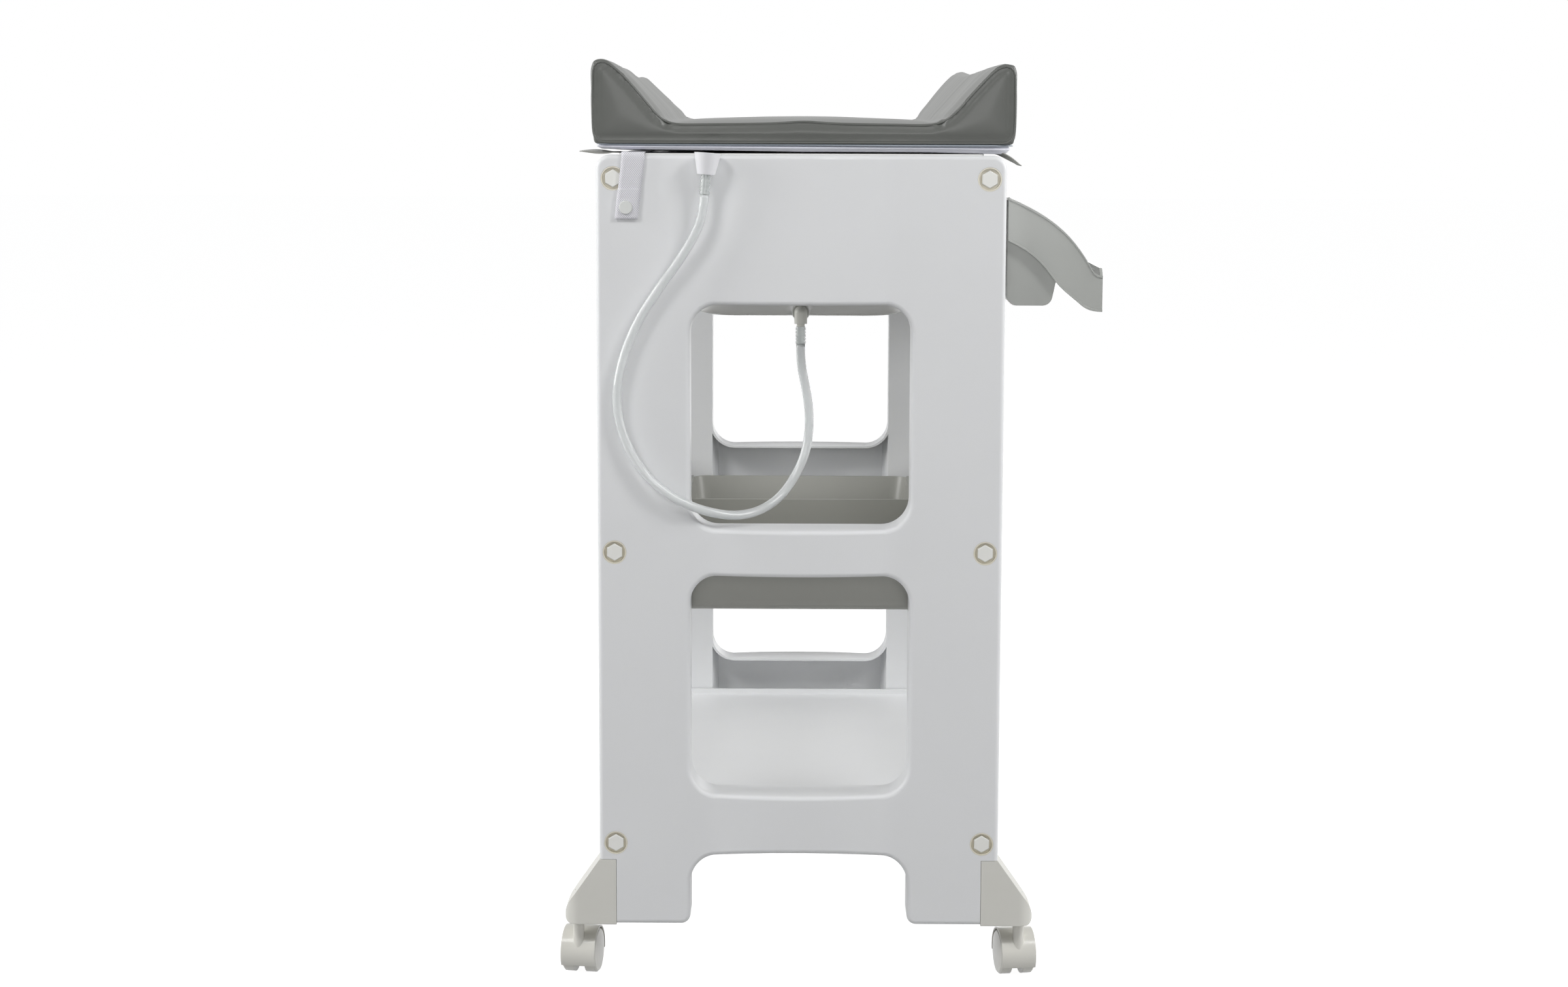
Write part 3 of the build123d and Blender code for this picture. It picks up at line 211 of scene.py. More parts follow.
panel_white = moulded_plastic("polypropylene_cool_white", "E6E7E8", "E2E3E4", 0.42, scatter=0.15)
tub_white = moulded_plastic("polypropylene_glossy_white", "E6E6E4", "E2E2E0", 0.24,
                            grain_height=0.01, coat=0.2)
foot_cream = moulded_plastic("nylon_cream_feet", "D9D8D2", "D5D4CD", 0.4, edge_mm=1.2, scatter=0.15)
castor_cream = moulded_plastic("nylon_cream_castors", "DEDDD7", "D9D7CE", 0.3, edge_mm=1.0,
                               coat=0.15, grain_height=0.02)
tray_grey = moulded_plastic("polypropylene_grey_gloss", "AAACA8", "A4A6A2", 0.24,
                            grain_height=0.012, coat=0.25)
shelf_grey = moulded_plastic("polypropylene_grey_satin", "A2A29C", "9B9B95", 0.36, grain_height=0.02)
washer_cream = moulded_plastic("nylon_cream_washers", "E4DFD0", "DDD7C4", 0.3, edge_mm=0.5, coat=0.2)
bolt_white = moulded_plastic("coated_hex_bolts", "EEEEEA", "E9E9E3", 0.3, edge_mm=0.7,
                             grain_height=0.01)
cup_white = moulded_plastic("polyethylene_white_cup", "F0F0F2", "E4E4E7", 0.3, edge_mm=0.6,
                            scatter=0.2)
elbow_grey = moulded_plastic("polyethylene_grey_white_elbow", "D6D6CE", "D0D0C8", 0.35, edge_mm=0.5)
seal_grey = moulded_plastic("translucent_grey_seal", "B4B4AE", "AEAEA8", 0.5)

# %% [markdown]
# ## Steel
# The tie tubes are steel tubes with a white powder coat, and stems, axles and inserts are
# bright zinc-plated steel. The coat is a thin, slightly rippled skin, so its bump is broad and
# shallow. The zinc keeps the turning marks of the rod it was made from, which give it a silky
# gloss. They are too fine to show, and are drawn about a millimetre wide.

# %% Steel finishes
ORANGE_PEEL_MM = 2.0
TURNING_MM = 1.11


def coated_steel():
    """White powder coat, with its orange-peel ripple of about two millimetres."""
    material, tree, shader, place = new_material("powder_coated_steel")
    ripple = put(tree, "ShaderNodeTexNoise", {"Vector": place, "Scale": 1 / (ORANGE_PEEL_MM * MM),
                                              "Detail": 1.0})
    bump = put(tree, "ShaderNodeBump", {"Height": ripple.outputs["Fac"], "Strength": 0.12,
                                        "Distance": GRAIN_BUMP})
    feed(tree, shader, {"Base Color": linear("DCDCD8"), "Roughness": 0.33,
                        "Normal": bump.outputs["Normal"]})
    return material


def plated_steel():
    """Zinc plate on turned rod: metal whose gloss changes finely, as turning leaves it."""
    material, tree, shader, place = new_material("zinc_plated_steel")
    marks = put(tree, "ShaderNodeTexNoise", {"Vector": place, "Scale": 1 / (TURNING_MM * MM),
                                             "Detail": 2.0})
    polish = put(tree, "ShaderNodeMapRange", {"Value": marks.outputs["Fac"], "To Min": 0.22,
                                              "To Max": 0.38})
    feed(tree, shader, {"Base Color": linear("B9BBB8"), "Roughness": polish.outputs["Result"],
                        "Metallic": 1.0})
    return material


coat_white = coated_steel()
plate_steel = plated_steel()

# %% [markdown]
# ## Clear plastic
# The hose is plasticised vinyl, water clear but for a little haze, and its two connectors are
# clear moulded plastic. Clear vinyl shows as dark edges and a bright core, since light bends
# most where it meets the wall at a slant, so the shader transmits light through a real wall
# with the refractive index of vinyl. Drawing the hose through its die leaves faint streaks,
# which change the gloss a little.

# %% Clear vinyl
STREAK_MM = 16.7


def clear_vinyl(name, colour, haze):
    """Clear plastic with a little haze, for the hose and its connectors."""
    material, tree, shader, place = new_material(name)
    streak = put(tree, "ShaderNodeTexNoise", {"Vector": place, "Scale": 1 / (STREAK_MM * MM),
                                              "Detail": 2.0})
    polish = put(tree, "ShaderNodeMapRange", {"Value": streak.outputs["Fac"], "To Min": 0.05,
                                              "To Max": 0.08})
    feed(tree, shader, {"Base Color": linear(colour), "Roughness": polish.outputs["Result"],
                        "Transmission Weight": 1 - haze, "IOR": 1.42})
    return material


hose_clear = clear_vinyl("clear_vinyl_hose", "F2F4F4", 0.45)
connector_clear = clear_vinyl("clear_plastic_connectors", "E6E9E8", 0.35)

# %% [markdown]
# ## Vinyl
# The mat is foam in a cover of grey vinyl, an artificial leather: its top coat has a fine
# pebble grain and a gloss that shows most at a low angle, as on the slopes of the mat. The
# white board under it has a cover of plain white vinyl, and where the two are welded together
# the edge is a dull blue-grey.

# %% Vinyl
VINYL_DRIFT_MM = 71.4
PEBBLE_MM = 1.2
PEBBLE_BUMP = 0.15 * MM


def cover_vinyl(name, colour, shade, roughness, coat):
    """Coated fabric: a pebble grain in the top coat and a broad, soft change of tone."""
    material, tree, shader, place = new_material(name)
    drift = put(tree, "ShaderNodeTexNoise", {"Vector": place, "Scale": 1 / (VINYL_DRIFT_MM * MM),
                                             "Detail": 2.0})
    tone = put(tree, "ShaderNodeMix", {"Factor": drift.outputs["Fac"], "A": linear(colour),
                                       "B": linear(shade)}, data_type="RGBA")
    pebble = put(tree, "ShaderNodeTexVoronoi", {"Vector": place, "Scale": 1 / (PEBBLE_MM * MM)})
    bump = put(tree, "ShaderNodeBump", {"Height": pebble.outputs["Distance"], "Strength": 0.05,
                                        "Distance": PEBBLE_BUMP})
    feed(tree, shader, {"Base Color": tone.outputs["Result"], "Normal": bump.outputs["Normal"],
                        "Roughness": roughness, "Coat Weight": coat, "Coat Roughness": 0.28})
    return material


vinyl_grey = cover_vinyl("grey_vinyl_cover", "525450", "4E504C", 0.42, coat=0.25)
vinyl_tab = cover_vinyl("grey_vinyl_tabs", "9A9A94", "92928C", 0.45, coat=0.2)
vinyl_white = cover_vinyl("white_vinyl_cover", "E6E7F0", "E2E3EC", 0.45, coat=0.1)
vinyl_welt = cover_vinyl("blue_grey_welded_edge", "A8B0B9", "9CA5AF", 0.4, coat=0.1)

# %% [markdown]
# ## Webbing
# The straps are polypropylene webbing, woven in rows of small ovals about 1.3 mm apart. A
# picture of cloth would do, but two products of cosines give the ovals at any zoom. They read
# the strap's own UV map, so that the rows follow the strap where it bends.

# %% Webbing
WEAVE_ACROSS = 11
WEAVE_PITCH_MM = 2.6
OVAL_SOFTNESS = 0.55
WEAVE_BUMP = 0.35 * MM


def woven_webbing():
    """Webbing: rows of bright ovals, shifted by half a step from row to row, in UV space."""
    material, tree, shader, _ = new_material("woven_webbing")
    flat = put(tree, "ShaderNodeUVMap").outputs["UV"]
    across_length = put(tree, "ShaderNodeSeparateXYZ", {"Vector": flat})
    across = put(tree, "ShaderNodeMath", {0: across_length.outputs["X"], 1: WEAVE_ACROSS},
                 operation="MULTIPLY")
    along = put(tree, "ShaderNodeMath", {0: across_length.outputs["Y"], 1: 1 / (WEAVE_PITCH_MM * MM)},
                operation="MULTIPLY")
    waves = []
    for shift in (0.0, 0.5):
        peaks = []
        for value in (across, along):
            step = put(tree, "ShaderNodeMath", {0: value.outputs[0], 1: shift}, operation="ADD")
            turns = put(tree, "ShaderNodeMath", {0: step.outputs[0], 1: 2 * math.pi}, operation="MULTIPLY")
            cosine = put(tree, "ShaderNodeMath", {0: turns.outputs[0]}, operation="COSINE")
            peaks.append(put(tree, "ShaderNodeMath", {0: cosine.outputs[0], 1: 0.0}, operation="MAXIMUM"))
        waves.append(put(tree, "ShaderNodeMath", {0: peaks[0].outputs[0], 1: peaks[1].outputs[0]},
                         operation="MULTIPLY"))
    higher = put(tree, "ShaderNodeMath", {0: waves[0].outputs[0], 1: waves[1].outputs[0]},
                 operation="MAXIMUM")
    yarn = put(tree, "ShaderNodeMath", {0: higher.outputs[0], 1: OVAL_SOFTNESS}, operation="POWER")
    tone = put(tree, "ShaderNodeMix", {"Factor": yarn.outputs[0], "A": linear("CECDD5"),
                                       "B": linear("FCFCFC")}, data_type="RGBA")
    bump = put(tree, "ShaderNodeBump", {"Height": yarn.outputs[0], "Strength": 0.5,
                                        "Distance": WEAVE_BUMP})
    feed(tree, shader, {"Base Color": tone.outputs["Result"], "Normal": bump.outputs["Normal"],
                        "Roughness": 0.6, "Sheen Weight": 0.3})
    return material


webbing = woven_webbing()

# %% Snap
snap_white = moulded_plastic("painted_snap_cap", "DCDEDB", "D8DAD7", 0.3, edge_mm=0.5,
                             grain_height=0.0)

# %% [markdown]
# ## Dress the rigid nodes
# Most moulded pieces have their true shape in the frame, so they keep it and only get a
# finish. Each is matched by its name.

# %% Finishes of the rigid nodes
FINISHES = {
    "lower_shelf": panel_white, "middle_shelf": shelf_grey, "accessory_tray": tray_grey,
    "bathtub": tub_white, "drain_seal": seal_grey, "drain_elbow": elbow_grey,
    "elbow_connector": connector_clear, "cup_connector": connector_clear, "hose_cup": cup_white,
}
END_FINISHES = {"end_panel": panel_white, "panel_washers": washer_cream, "panel_bolts": bolt_white,
                "tube_inserts": plate_steel, "snap": snap_white}
CORNER_FINISHES = {"foot": foot_cream, "castor_hood": castor_cream, "castor_stem": plate_steel,
                   "castor_axle": plate_steel, "inner_wheel": castor_cream,
                   "outer_wheel": castor_cream}
for end in ("left", "right"):
    for piece, finish in END_FINISHES.items():
        FINISHES[f"{end}_{piece}"] = finish
    for side in ("front", "back"):
        for piece, finish in CORNER_FINISHES.items():
            FINISHES[f"{end}_{side}_{piece}"] = finish
for side in ("back", "front"):
    for height in ("top", "middle", "bottom"):
        FINISHES[f"{side}_{height}_tube"] = coat_white
for name, finish in FINISHES.items():
    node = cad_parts[name]
    for slot in node.material_slots:
        slot.material = finish
print("finished nodes", len(FINISHES))

# %% [markdown]
# ## The bathtub's side rims
# Beside the strap, daylight shows over the panel's rounded corner, so the bathtub's long rims
# must lie inside the tie tubes there, about 24 mm further in than the model has them. A CAD
# mesh is never changed, so a merged copy of it gets narrower rims and stands for the node.

# %% Narrower side rims
RIM_INNER = 178 * MM
RIM_OUTER = 219 * MM
RIM_SHIFT = 24 * MM
RIM_LOW = 900 * MM


def link_mesh(name, mesh):
    """A new object at the origin with this mesh."""
    made = bpy.data.objects.new(name, mesh)
    scene.collection.objects.link(made)
    return made


def welded_copy(node_name, name):
    """A copy of a node's mesh whose loose triangles are joined."""
    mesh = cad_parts[node_name].data.copy()
    shape = bmesh.new()
    shape.from_mesh(mesh)
    bmesh.ops.remove_doubles(shape, verts=shape.verts, dist=0.01 * MM)
    shape.to_mesh(mesh)
    shape.free()
    mesh.materials.clear()
    return link_mesh(name, mesh)


def rows_of(mesh, what):
    """A mesh's points ("co") or their normals ("normal"), one row of an array each."""
    values = np.empty(len(mesh.vertices) * 3, dtype=np.float32)
    mesh.vertices.foreach_get(what, values)
    return values.reshape(-1, 3).astype(float)


def set_points(mesh, points):
    """Give a mesh its points back, all at once."""
    mesh.vertices.foreach_set("co", points.astype(np.float32).ravel())
    mesh.update()


def ramp(values, start, stop):
    """0 on the far side of start, 1 from stop on, and a straight rise between them."""
    return np.clip((values - start) / (stop - start), 0, 1)


tub = welded_copy("bathtub", "bathtub_narrow_rims")
tub_points = rows_of(tub.data, "co")
sideways = tub_points[:, 0] - middle_x
share = ramp(np.abs(sideways), RIM_INNER, RIM_OUTER) * (tub_points[:, 2] > RIM_LOW)
tub_points[:, 0] -= np.sign(sideways) * RIM_SHIFT * share
set_points(tub.data, tub_points)
for polygon, kept in zip(tub.data.polygons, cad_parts["bathtub"].data.polygons):
    polygon.use_smooth = kept.use_smooth
tub.data.materials.append(tub_white)
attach(tub, "frame")
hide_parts("bathtub")
print("rim points moved", int((share > 0).sum()))

# %% [markdown]
# ## Drain hose
# The bath empties through a clear hose of 10 mm. It leaves the elbow's connector straight
# down, bends forward through the window under its own weight, and its other end is stored in a
# cup that hooks over the panel. A NURBS curve through given control points gives one
# smooth line, as a hose takes, and a Solidify modifier gives it a wall.

# %% Drain hose
HOSE_DIAMETER = 10 * MM
HOSE_WALL = 1.5 * MM
HOSE_POINTS_MM = [
    (0, 75, 713), (0, 75, 692), (5, 75, 668), (10, 75.5, 640), (10, 76, 612), (5, 74, 586),
    (-6, 68, 563), (-22, 56, 542), (-44, 40, 529), (-68, 20, 526), (-92, 0, 531), (-117, -13, 540),
    (-145, -15, 554), (-172, -13, 578), (-192, -11, 612), (-202, -10, 655), (-195, -10, 700),
    (-178, -10, 742), (-154, -10.5, 779), (-130, -12, 811), (-113, -16, 840),
    (-105.57, -18.5, 861.06), (-104, -18.5, 881)]

hose_curve = bpy.data.curves.new("hose", "CURVE")
hose_curve.dimensions = "3D"
hose_spline = hose_curve.splines.new("NURBS")
hose_spline.points.add(len(HOSE_POINTS_MM) - 1)
for point, (x, y, z) in zip(hose_spline.points, HOSE_POINTS_MM):
    point.co = (*at(x, near_face / MM + y, z), 1)
hose_spline.order_u = 3
hose_spline.use_endpoint_u = True
hose_spline.resolution_u = 8
hose_curve.bevel_depth = HOSE_DIAMETER / 2
hose_curve.bevel_resolution = 12
hose_curve.materials.append(hose_clear)
hose = bpy.data.objects.new("drain_hose_clear", hose_curve)
scene.collection.objects.link(hose)
hose_wall = hose.modifiers.new("wall", "SOLIDIFY")
hose_wall.thickness = HOSE_WALL
hose_wall.offset = -1
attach(hose, "frame")
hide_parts("drain_hose")

# %% [markdown]
# ## The padded mat
# The mat is a block of foam with a raised wedge along each side, in a tight vinyl cover. Its
# faces swell a little between the seams and pull in at the corners. That is what inflating a
# closed cloth does, so the CAD solid is copied, shrunk slightly, made an even mesh of small
# squares, and blown up as a cloth with pressure inside and no gravity. Its underside is held
# where it lies on the board, its inner corners where the cover is tied down, and no point may
# swell further than a cap. Last, each slice is brought to the width of the CAD cushion and a
# little swelling.

# %% Helpers for meshes


def applied(made):
    """Apply an object's modifiers to its mesh, and give the object back."""
    graph = bpy.context.evaluated_depsgraph_get()
    mesh = bpy.data.meshes.new_from_object(made.evaluated_get(graph))
    made.modifiers.clear()
    made.data = mesh
    return made


def smooth(made):
    """Shade every face smoothly, and give the object back."""
    made.data.polygons.foreach_set("use_smooth", [True] * len(made.data.polygons))
    made.data.update()
    return made


# %% An even start mesh
VOXEL = 6.4 * MM

cushion = welded_copy("mat_cushion", "mat_padded")
remesh = cushion.modifiers.new("even", "REMESH")
remesh.mode = "VOXEL"
remesh.voxel_size = VOXEL
relax = cushion.modifiers.new("relax", "SMOOTH")
relax.factor = 0.5
relax.iterations = 1
applied(cushion)
start_points = rows_of(cushion.data, "co")
start_points[:, 0] += mat_shift
x_from_middle = start_points[:, 0] - mat_x
across = np.abs(x_from_middle)
print("mat mesh", len(start_points), "points")

# %% [markdown]
# ### Uneven crests
# Foam cut by hand isn't quite even: in the photograph the crests' heights differ by a few
# millimetres from end to end, and the far end's slopes stand a little wider. Each lift or
# spread below is given at some distances from the mat's middle, for one side at one end, and
# the places between the two ends get a mixture.

# %% Lift and spread the wedges
FLAT_TOP = 957.3 * MM
LEAST_WEDGE = 3 * MM
WEDGE_TOP_AT = np.array([147, 165, 183, 199, 206, 214, 223, 230]) * MM
WEDGE_TOP_HEIGHT = np.array([0, 18.6, 37.2, 53.7, 61.0, 66.2, 66.0, 55.0]) * MM
LEFT_NEAR_LIFT = np.array([0, 1.8, 4.5, 5.2, 4.4, 4.2, 4.6, 5.0]) * MM
RIGHT_NEAR_LIFT = np.array([0, -2.9, -1.2, 0, -0.2, 0.4, 0.8, 1.4]) * MM
LEFT_FAR_LIFT = np.array([0, -4.0, -8.0, -9.0, -8.5, -5.5, -4.5, -4.5]) * MM
RIGHT_FAR_LIFT = np.array([0, 0.5, 4.0, 6.5, 6.0, 4.5, 3.5, 3.0]) * MM
SPREAD_AT = np.array([90, 147, 206, 223]) * MM
LEFT_FAR_SPREAD = np.array([0, 5.0, 3.0, 0]) * MM
RIGHT_FAR_SPREAD = np.array([0, 3.0, 0, 0]) * MM


def by_side(stations, left, right):
    """Values by distance from the mat's middle, from one list left of it and one right of it."""
    return np.where(x_from_middle < 0, np.interp(across, stations, left),
                    np.interp(across, stations, right))


toward_near = np.clip(0.5 - start_points[:, 1] / (2 * mat_high[1]), 0, 1)
wedge_top = np.interp(across, WEDGE_TOP_AT, WEDGE_TOP_HEIGHT)
rise = np.clip((start_points[:, 2] - FLAT_TOP) / np.maximum(wedge_top, LEAST_WEDGE), 0, 1)
near_lift = by_side(WEDGE_TOP_AT, LEFT_NEAR_LIFT, RIGHT_NEAR_LIFT)
far_lift = by_side(WEDGE_TOP_AT, LEFT_FAR_LIFT, RIGHT_FAR_LIFT)
start_points[:, 2] += rise * (near_lift * toward_near + far_lift * (1 - toward_near))
far_spread = by_side(SPREAD_AT, -LEFT_FAR_SPREAD, RIGHT_FAR_SPREAD)
start_points[:, 0] += far_spread * (1 - toward_near)
set_points(cushion.data, start_points)

# %% Points that stay put
SHRINK = 1.2 * MM
BOARD_REACH = 3 * MM
SEAM_REACH = 5 * MM
SEAM_TURN = (0.25, 0.93)
CORNER_REACH = 4.5 * MM

start_normals = rows_of(cushion.data, "normal")
underside = mat_low[2] + BOARD_REACH
on_board = start_points[:, 2] <= underside
at_end = np.abs(start_points[:, 1]) > mat_high[1] - SEAM_REACH
facing_end = np.abs(start_normals[:, 1])
on_seam = at_end & (facing_end > SEAM_TURN[0]) & (facing_end < SEAM_TURN[1]) & ~on_board
in_corner = np.abs(across - WEDGE_TOP_AT[0]) < CORNER_REACH
in_corner &= np.abs(start_points[:, 2] - FLAT_TOP) < CORNER_REACH
free = ~(on_board | on_seam | in_corner)
start_points[free] -= start_normals[free] * SHRINK
set_points(cushion.data, start_points)
print("held by the board", int(on_board.sum()), "by the end seams", int(on_seam.sum()),
      "and in the inner corners", int(in_corner.sum()))

# %% Inflate the cover
PRESSURE = 4.5
COVER_STIFFNESS = 25
SOLVER_QUALITY = 5
CLOTH_FRAMES = 20
SWELL_CAP = 4.4 * MM

held = cushion.vertex_groups.new(name="held")
held.add([int(i) for i in np.nonzero(~free)[0]], 1.0, "REPLACE")
cloth = cushion.modifiers.new("cover", "CLOTH")
cloth.settings.use_pressure = True
cloth.settings.uniform_pressure_force = PRESSURE
cloth.settings.effector_weights.gravity = 0
cloth.settings.quality = SOLVER_QUALITY
cloth.settings.tension_stiffness = COVER_STIFFNESS
cloth.settings.compression_stiffness = COVER_STIFFNESS
cloth.settings.vertex_group_mass = "held"
for step in range(1, CLOTH_FRAMES + 1):
    scene.frame_set(step)
applied(cushion)
scene.frame_set(1)
moves = rows_of(cushion.data, "co") - start_points
lengths = np.linalg.norm(moves, axis=1, keepdims=True)
capped = SWELL_CAP * np.tanh(lengths / SWELL_CAP)
swollen = start_points + moves * capped / np.maximum(lengths, 1e-9)
swollen[:, 1] *= mat_high[1] / np.abs(swollen[:, 1]).max()
print("the cloth moved a point by up to", round(float(lengths.max()) / MM, 1), "mm")

# %% Bring each slice to its width
SLICES = 25
SLICE_INSET = 16 * MM
COVER_SWELL = 2.8 * MM

cover_half_width = (mat_high[0] - mat_low[0]) / 2 + COVER_SWELL
slices = np.linspace(-mat_high[1] + SLICE_INSET, mat_high[1] - SLICE_INSET, SLICES)
for side in (-1, 1):
    reach = side * (swollen[:, 0] - mat_x)
    widest = [reach[np.abs(swollen[:, 1] - y) < SLICE_INSET].max() for y in slices]
    widen = cover_half_width / np.interp(swollen[:, 1], slices, widest)
    on_side = reach > 0
    swollen[on_side, 0] = mat_x + side * (reach * widen)[on_side]
set_points(cushion.data, swollen)
print("the cover is", round(2 * cover_half_width / MM, 1), "mm wide")

# %% [markdown]
# ## Seam, folds and ripples in the cover
# Each end piece of the cover is sewn to the long piece by a seam that lies in a shallow groove.
# Where a flat sheet is made to turn an inner corner, the spare vinyl gathers into a short tuck,
# and down the slopes it ripples faintly, since the cover is stretched along the mat more than
# across it. All of this is too fine for the cloth's squares, so the mesh is first subdivided
# once, and then its points are moved along their normals by the sum of all the small heights.

# %% Outlines of a mesh
RAY_START = 0.1
SMOOTHINGS = 2


def outline_at(made, y):
    """The closed loop where a plane across Y cuts the mesh, as points in their order."""
    cut = bmesh.new()
    cut.from_mesh(made.data)
    found = bmesh.ops.bisect_plane(cut, geom=cut.verts[:] + cut.edges[:] + cut.faces[:],
                                   plane_co=(0, y, 0), plane_no=(0, 1, 0))
    edges = [e for e in found["geom_cut"] if isinstance(e, bmesh.types.BMEdge)]
    chain = [edges[0].verts[0], edges[0].verts[1]]
    used = {edges[0]}
    while True:
        following = [e for e in chain[-1].link_edges if e in edges and e not in used]
        if not following:
            break
        used.add(following[0])
        chain.append(following[0].other_vert(chain[-1]))
    points = [v.co.copy() for v in chain[:-1]]
    cut.free()
    return points


def evened(points, count, closed=True):
    """The same path with equally spaced, slightly smoothed points."""
    loop = points + [points[0]] if closed else points
    lengths = [0.0]
    for a, b in zip(loop, loop[1:]):
        lengths.append(lengths[-1] + (b - a).length)
    result, index = [], 0
    for i in range(count):
        wanted = lengths[-1] * i / (count if closed else count - 1)
        while index < len(lengths) - 2 and lengths[index + 1] < wanted:
            index += 1
        share = (wanted - lengths[index]) / max(lengths[index + 1] - lengths[index], 1e-9)
        result.append(loop[index].lerp(loop[index + 1], min(share, 1.0)))
    for _ in range(SMOOTHINGS):
        result = [(result[i - 1] + result[i] * 2 + result[(i + 1) % len(result)]) / 4
                  if closed or 0 < i < len(result) - 1 else result[i] for i in range(len(result))]
    return result


def inset(path, depth):
    """A loop in a plane across Y, drawn in towards its inside by a depth."""
    sides = list(zip(path, path[1:] + path[:1]))
    turn = 1 if sum(a.x * b.z - b.x * a.z for a, b in sides) > 0 else -1
    result = []
    for i, place in enumerate(path):
        along = path[(i + 1) % len(path)] - path[i - 1]
        result.append(place + Vector((-along.z, 0, along.x)).normalized() * (turn * depth))
    return result


def laid_on(path, made, drop):
    """The path's points moved from outside along a direction until they meet the mesh."""
    surface = BVHTree.FromPolygons([v.co for v in made.data.vertices],
                                   [p.vertices for p in made.data.polygons])
    hits = [surface.ray_cast(place - drop * RAY_START, drop)[0] for place in path]
    return [hit for hit in hits if hit is not None]


# %% Seam grooves
RIM_INSET = 7 * MM
OUTLINE_POINTS = 400
GROOVE_INSET = 5.5 * MM
SEAM_DEPTH = 1.5 * MM
SEAM_WIDTH = 2.4 * MM
END_FACE = (0.8, 0.95)
END_PUFF = 1.6 * MM
PUFF_REACH = 22 * MM
ABOVE_BOARD = 2 * MM

finer = cushion.modifiers.new("finer", "SUBSURF")
finer.levels = finer.render_levels = 1
applied(cushion)
places = rows_of(cushion.data, "co")
outward = rows_of(cushion.data, "normal")
push = np.zeros(len(places))
above = places[:, 2] > underside + ABOVE_BOARD
rims = [evened(outline_at(cushion, end * (mat_high[1] - RIM_INSET)), OUTLINE_POINTS)
        for end in (-1, 1)]
grooves = []
for end, rim in zip((-1, 1), rims):
    grooves += laid_on(inset(rim, GROOVE_INSET), cushion, Vector((0, -end, 0)))
near_groove = KDTree(len(grooves))
for i, place in enumerate(grooves):
    near_groove.insert(place, i)
near_groove.balance()
seam_distance = np.array([near_groove.find(place)[2] for place in places])
end_face = ramp(np.abs(outward[:, 1]), *END_FACE)
push -= SEAM_DEPTH * np.exp(-(seam_distance / SEAM_WIDTH) ** 2) * above
push += END_PUFF * end_face * (1 - np.exp(-seam_distance / PUFF_REACH))
print("groove points", len(grooves))

# %% Tucks at the inner corners
INNER_CORNER_X = 148 * MM
TUCK_DEPTH = 1.6 * MM
TUCK_LENGTH = 26 * MM
TUCK_WIDTH = 3.2 * MM
TUCK_MIDDLE = 0.3
TUCKS = [((-0.45, -0.85, 0.12), 1.0), ((0.5, -0.6, 0.5), 0.6)]
RIDGE_HEIGHT = 0.5

for end in (-1, 1):
    for side in (-1, 1):
        corner = np.array([mat_x + side * INNER_CORNER_X, end * mat_high[1], FLAT_TOP])
        for (sidewards, endwards, up), share in TUCKS:
            way = np.array([side * sidewards, end * endwards, up])
            way /= np.linalg.norm(way)
            offset = places - corner
            along = offset @ way
            aside = np.linalg.norm(offset - along[:, None] * way, axis=1)
            fade = np.clip(1 - np.abs(along - TUCK_MIDDLE * TUCK_LENGTH) / TUCK_LENGTH, 0, 1)
            groove = np.exp(-(aside / TUCK_WIDTH) ** 2)
            ridge = np.exp(-((aside - 2 * TUCK_WIDTH) / TUCK_WIDTH) ** 2)
            push += share * TUCK_DEPTH * fade * (RIDGE_HEIGHT * ridge - groove)

# %% Ripples down the slopes
RIPPLE_HEIGHT = 1.5 * MM
RIPPLE_MM = 40
RIPPLE_PER_METRE = (6, 5)
RIPPLE_FADE = 25 * MM
STEEP_TO_SLOPE = (0.15, 0.35)
FLAT_TO_SLOPE = (0.97, 0.82)
WAVE_HEIGHT = 0.9 * MM
WAVE_PER_METRE = (9, 7, 9)

slope = ramp(outward[:, 2], *STEEP_TO_SLOPE) * ramp(outward[:, 2], *FLAT_TO_SLOPE)
slope *= (places[:, 2] > FLAT_TOP) * ramp(mat_high[1] - np.abs(places[:, 1]), 0, RIPPLE_FADE)
streaks = np.array([noise.noise(Vector((x * RIPPLE_PER_METRE[0], y / (RIPPLE_MM * MM),
                                        z * RIPPLE_PER_METRE[1]))) for x, y, z in places])
waves = np.array([noise.noise(Vector(place * WAVE_PER_METRE)) for place in places])
push += RIPPLE_HEIGHT * slope * streaks + WAVE_HEIGHT * waves * above
set_points(cushion.data, places + outward * push[:, None])
print("the cover's points moved by", round(push.min() / MM, 2), "to", round(push.max() / MM, 2), "mm")

# %% Finish the mat
cushion.data.materials.clear()
cushion.data.materials.append(vinyl_grey)
smooth(cushion)
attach(cushion, "mat")
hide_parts("mat_cushion")
print("mat faces", len(cushion.data.polygons))

# %% [markdown]
# ## Piping
# The cover's end pieces are sewn to the long piece with a welt, a thin cord wrapped in vinyl,
# that outlines each end. Its path is the finished mat's outline near the end, drawn in a little
# and laid on the end face, so that it follows every swelling. A Geometry Nodes tree sweeps a
# small circle along it, which keeps the welt's thickness a named input.

# %% A tree that sweeps a round bead along a path
PIPING_RADIUS = 1.4 * MM
PIPING_INSET = 1.4 * MM
PIPING_POINTS = 220


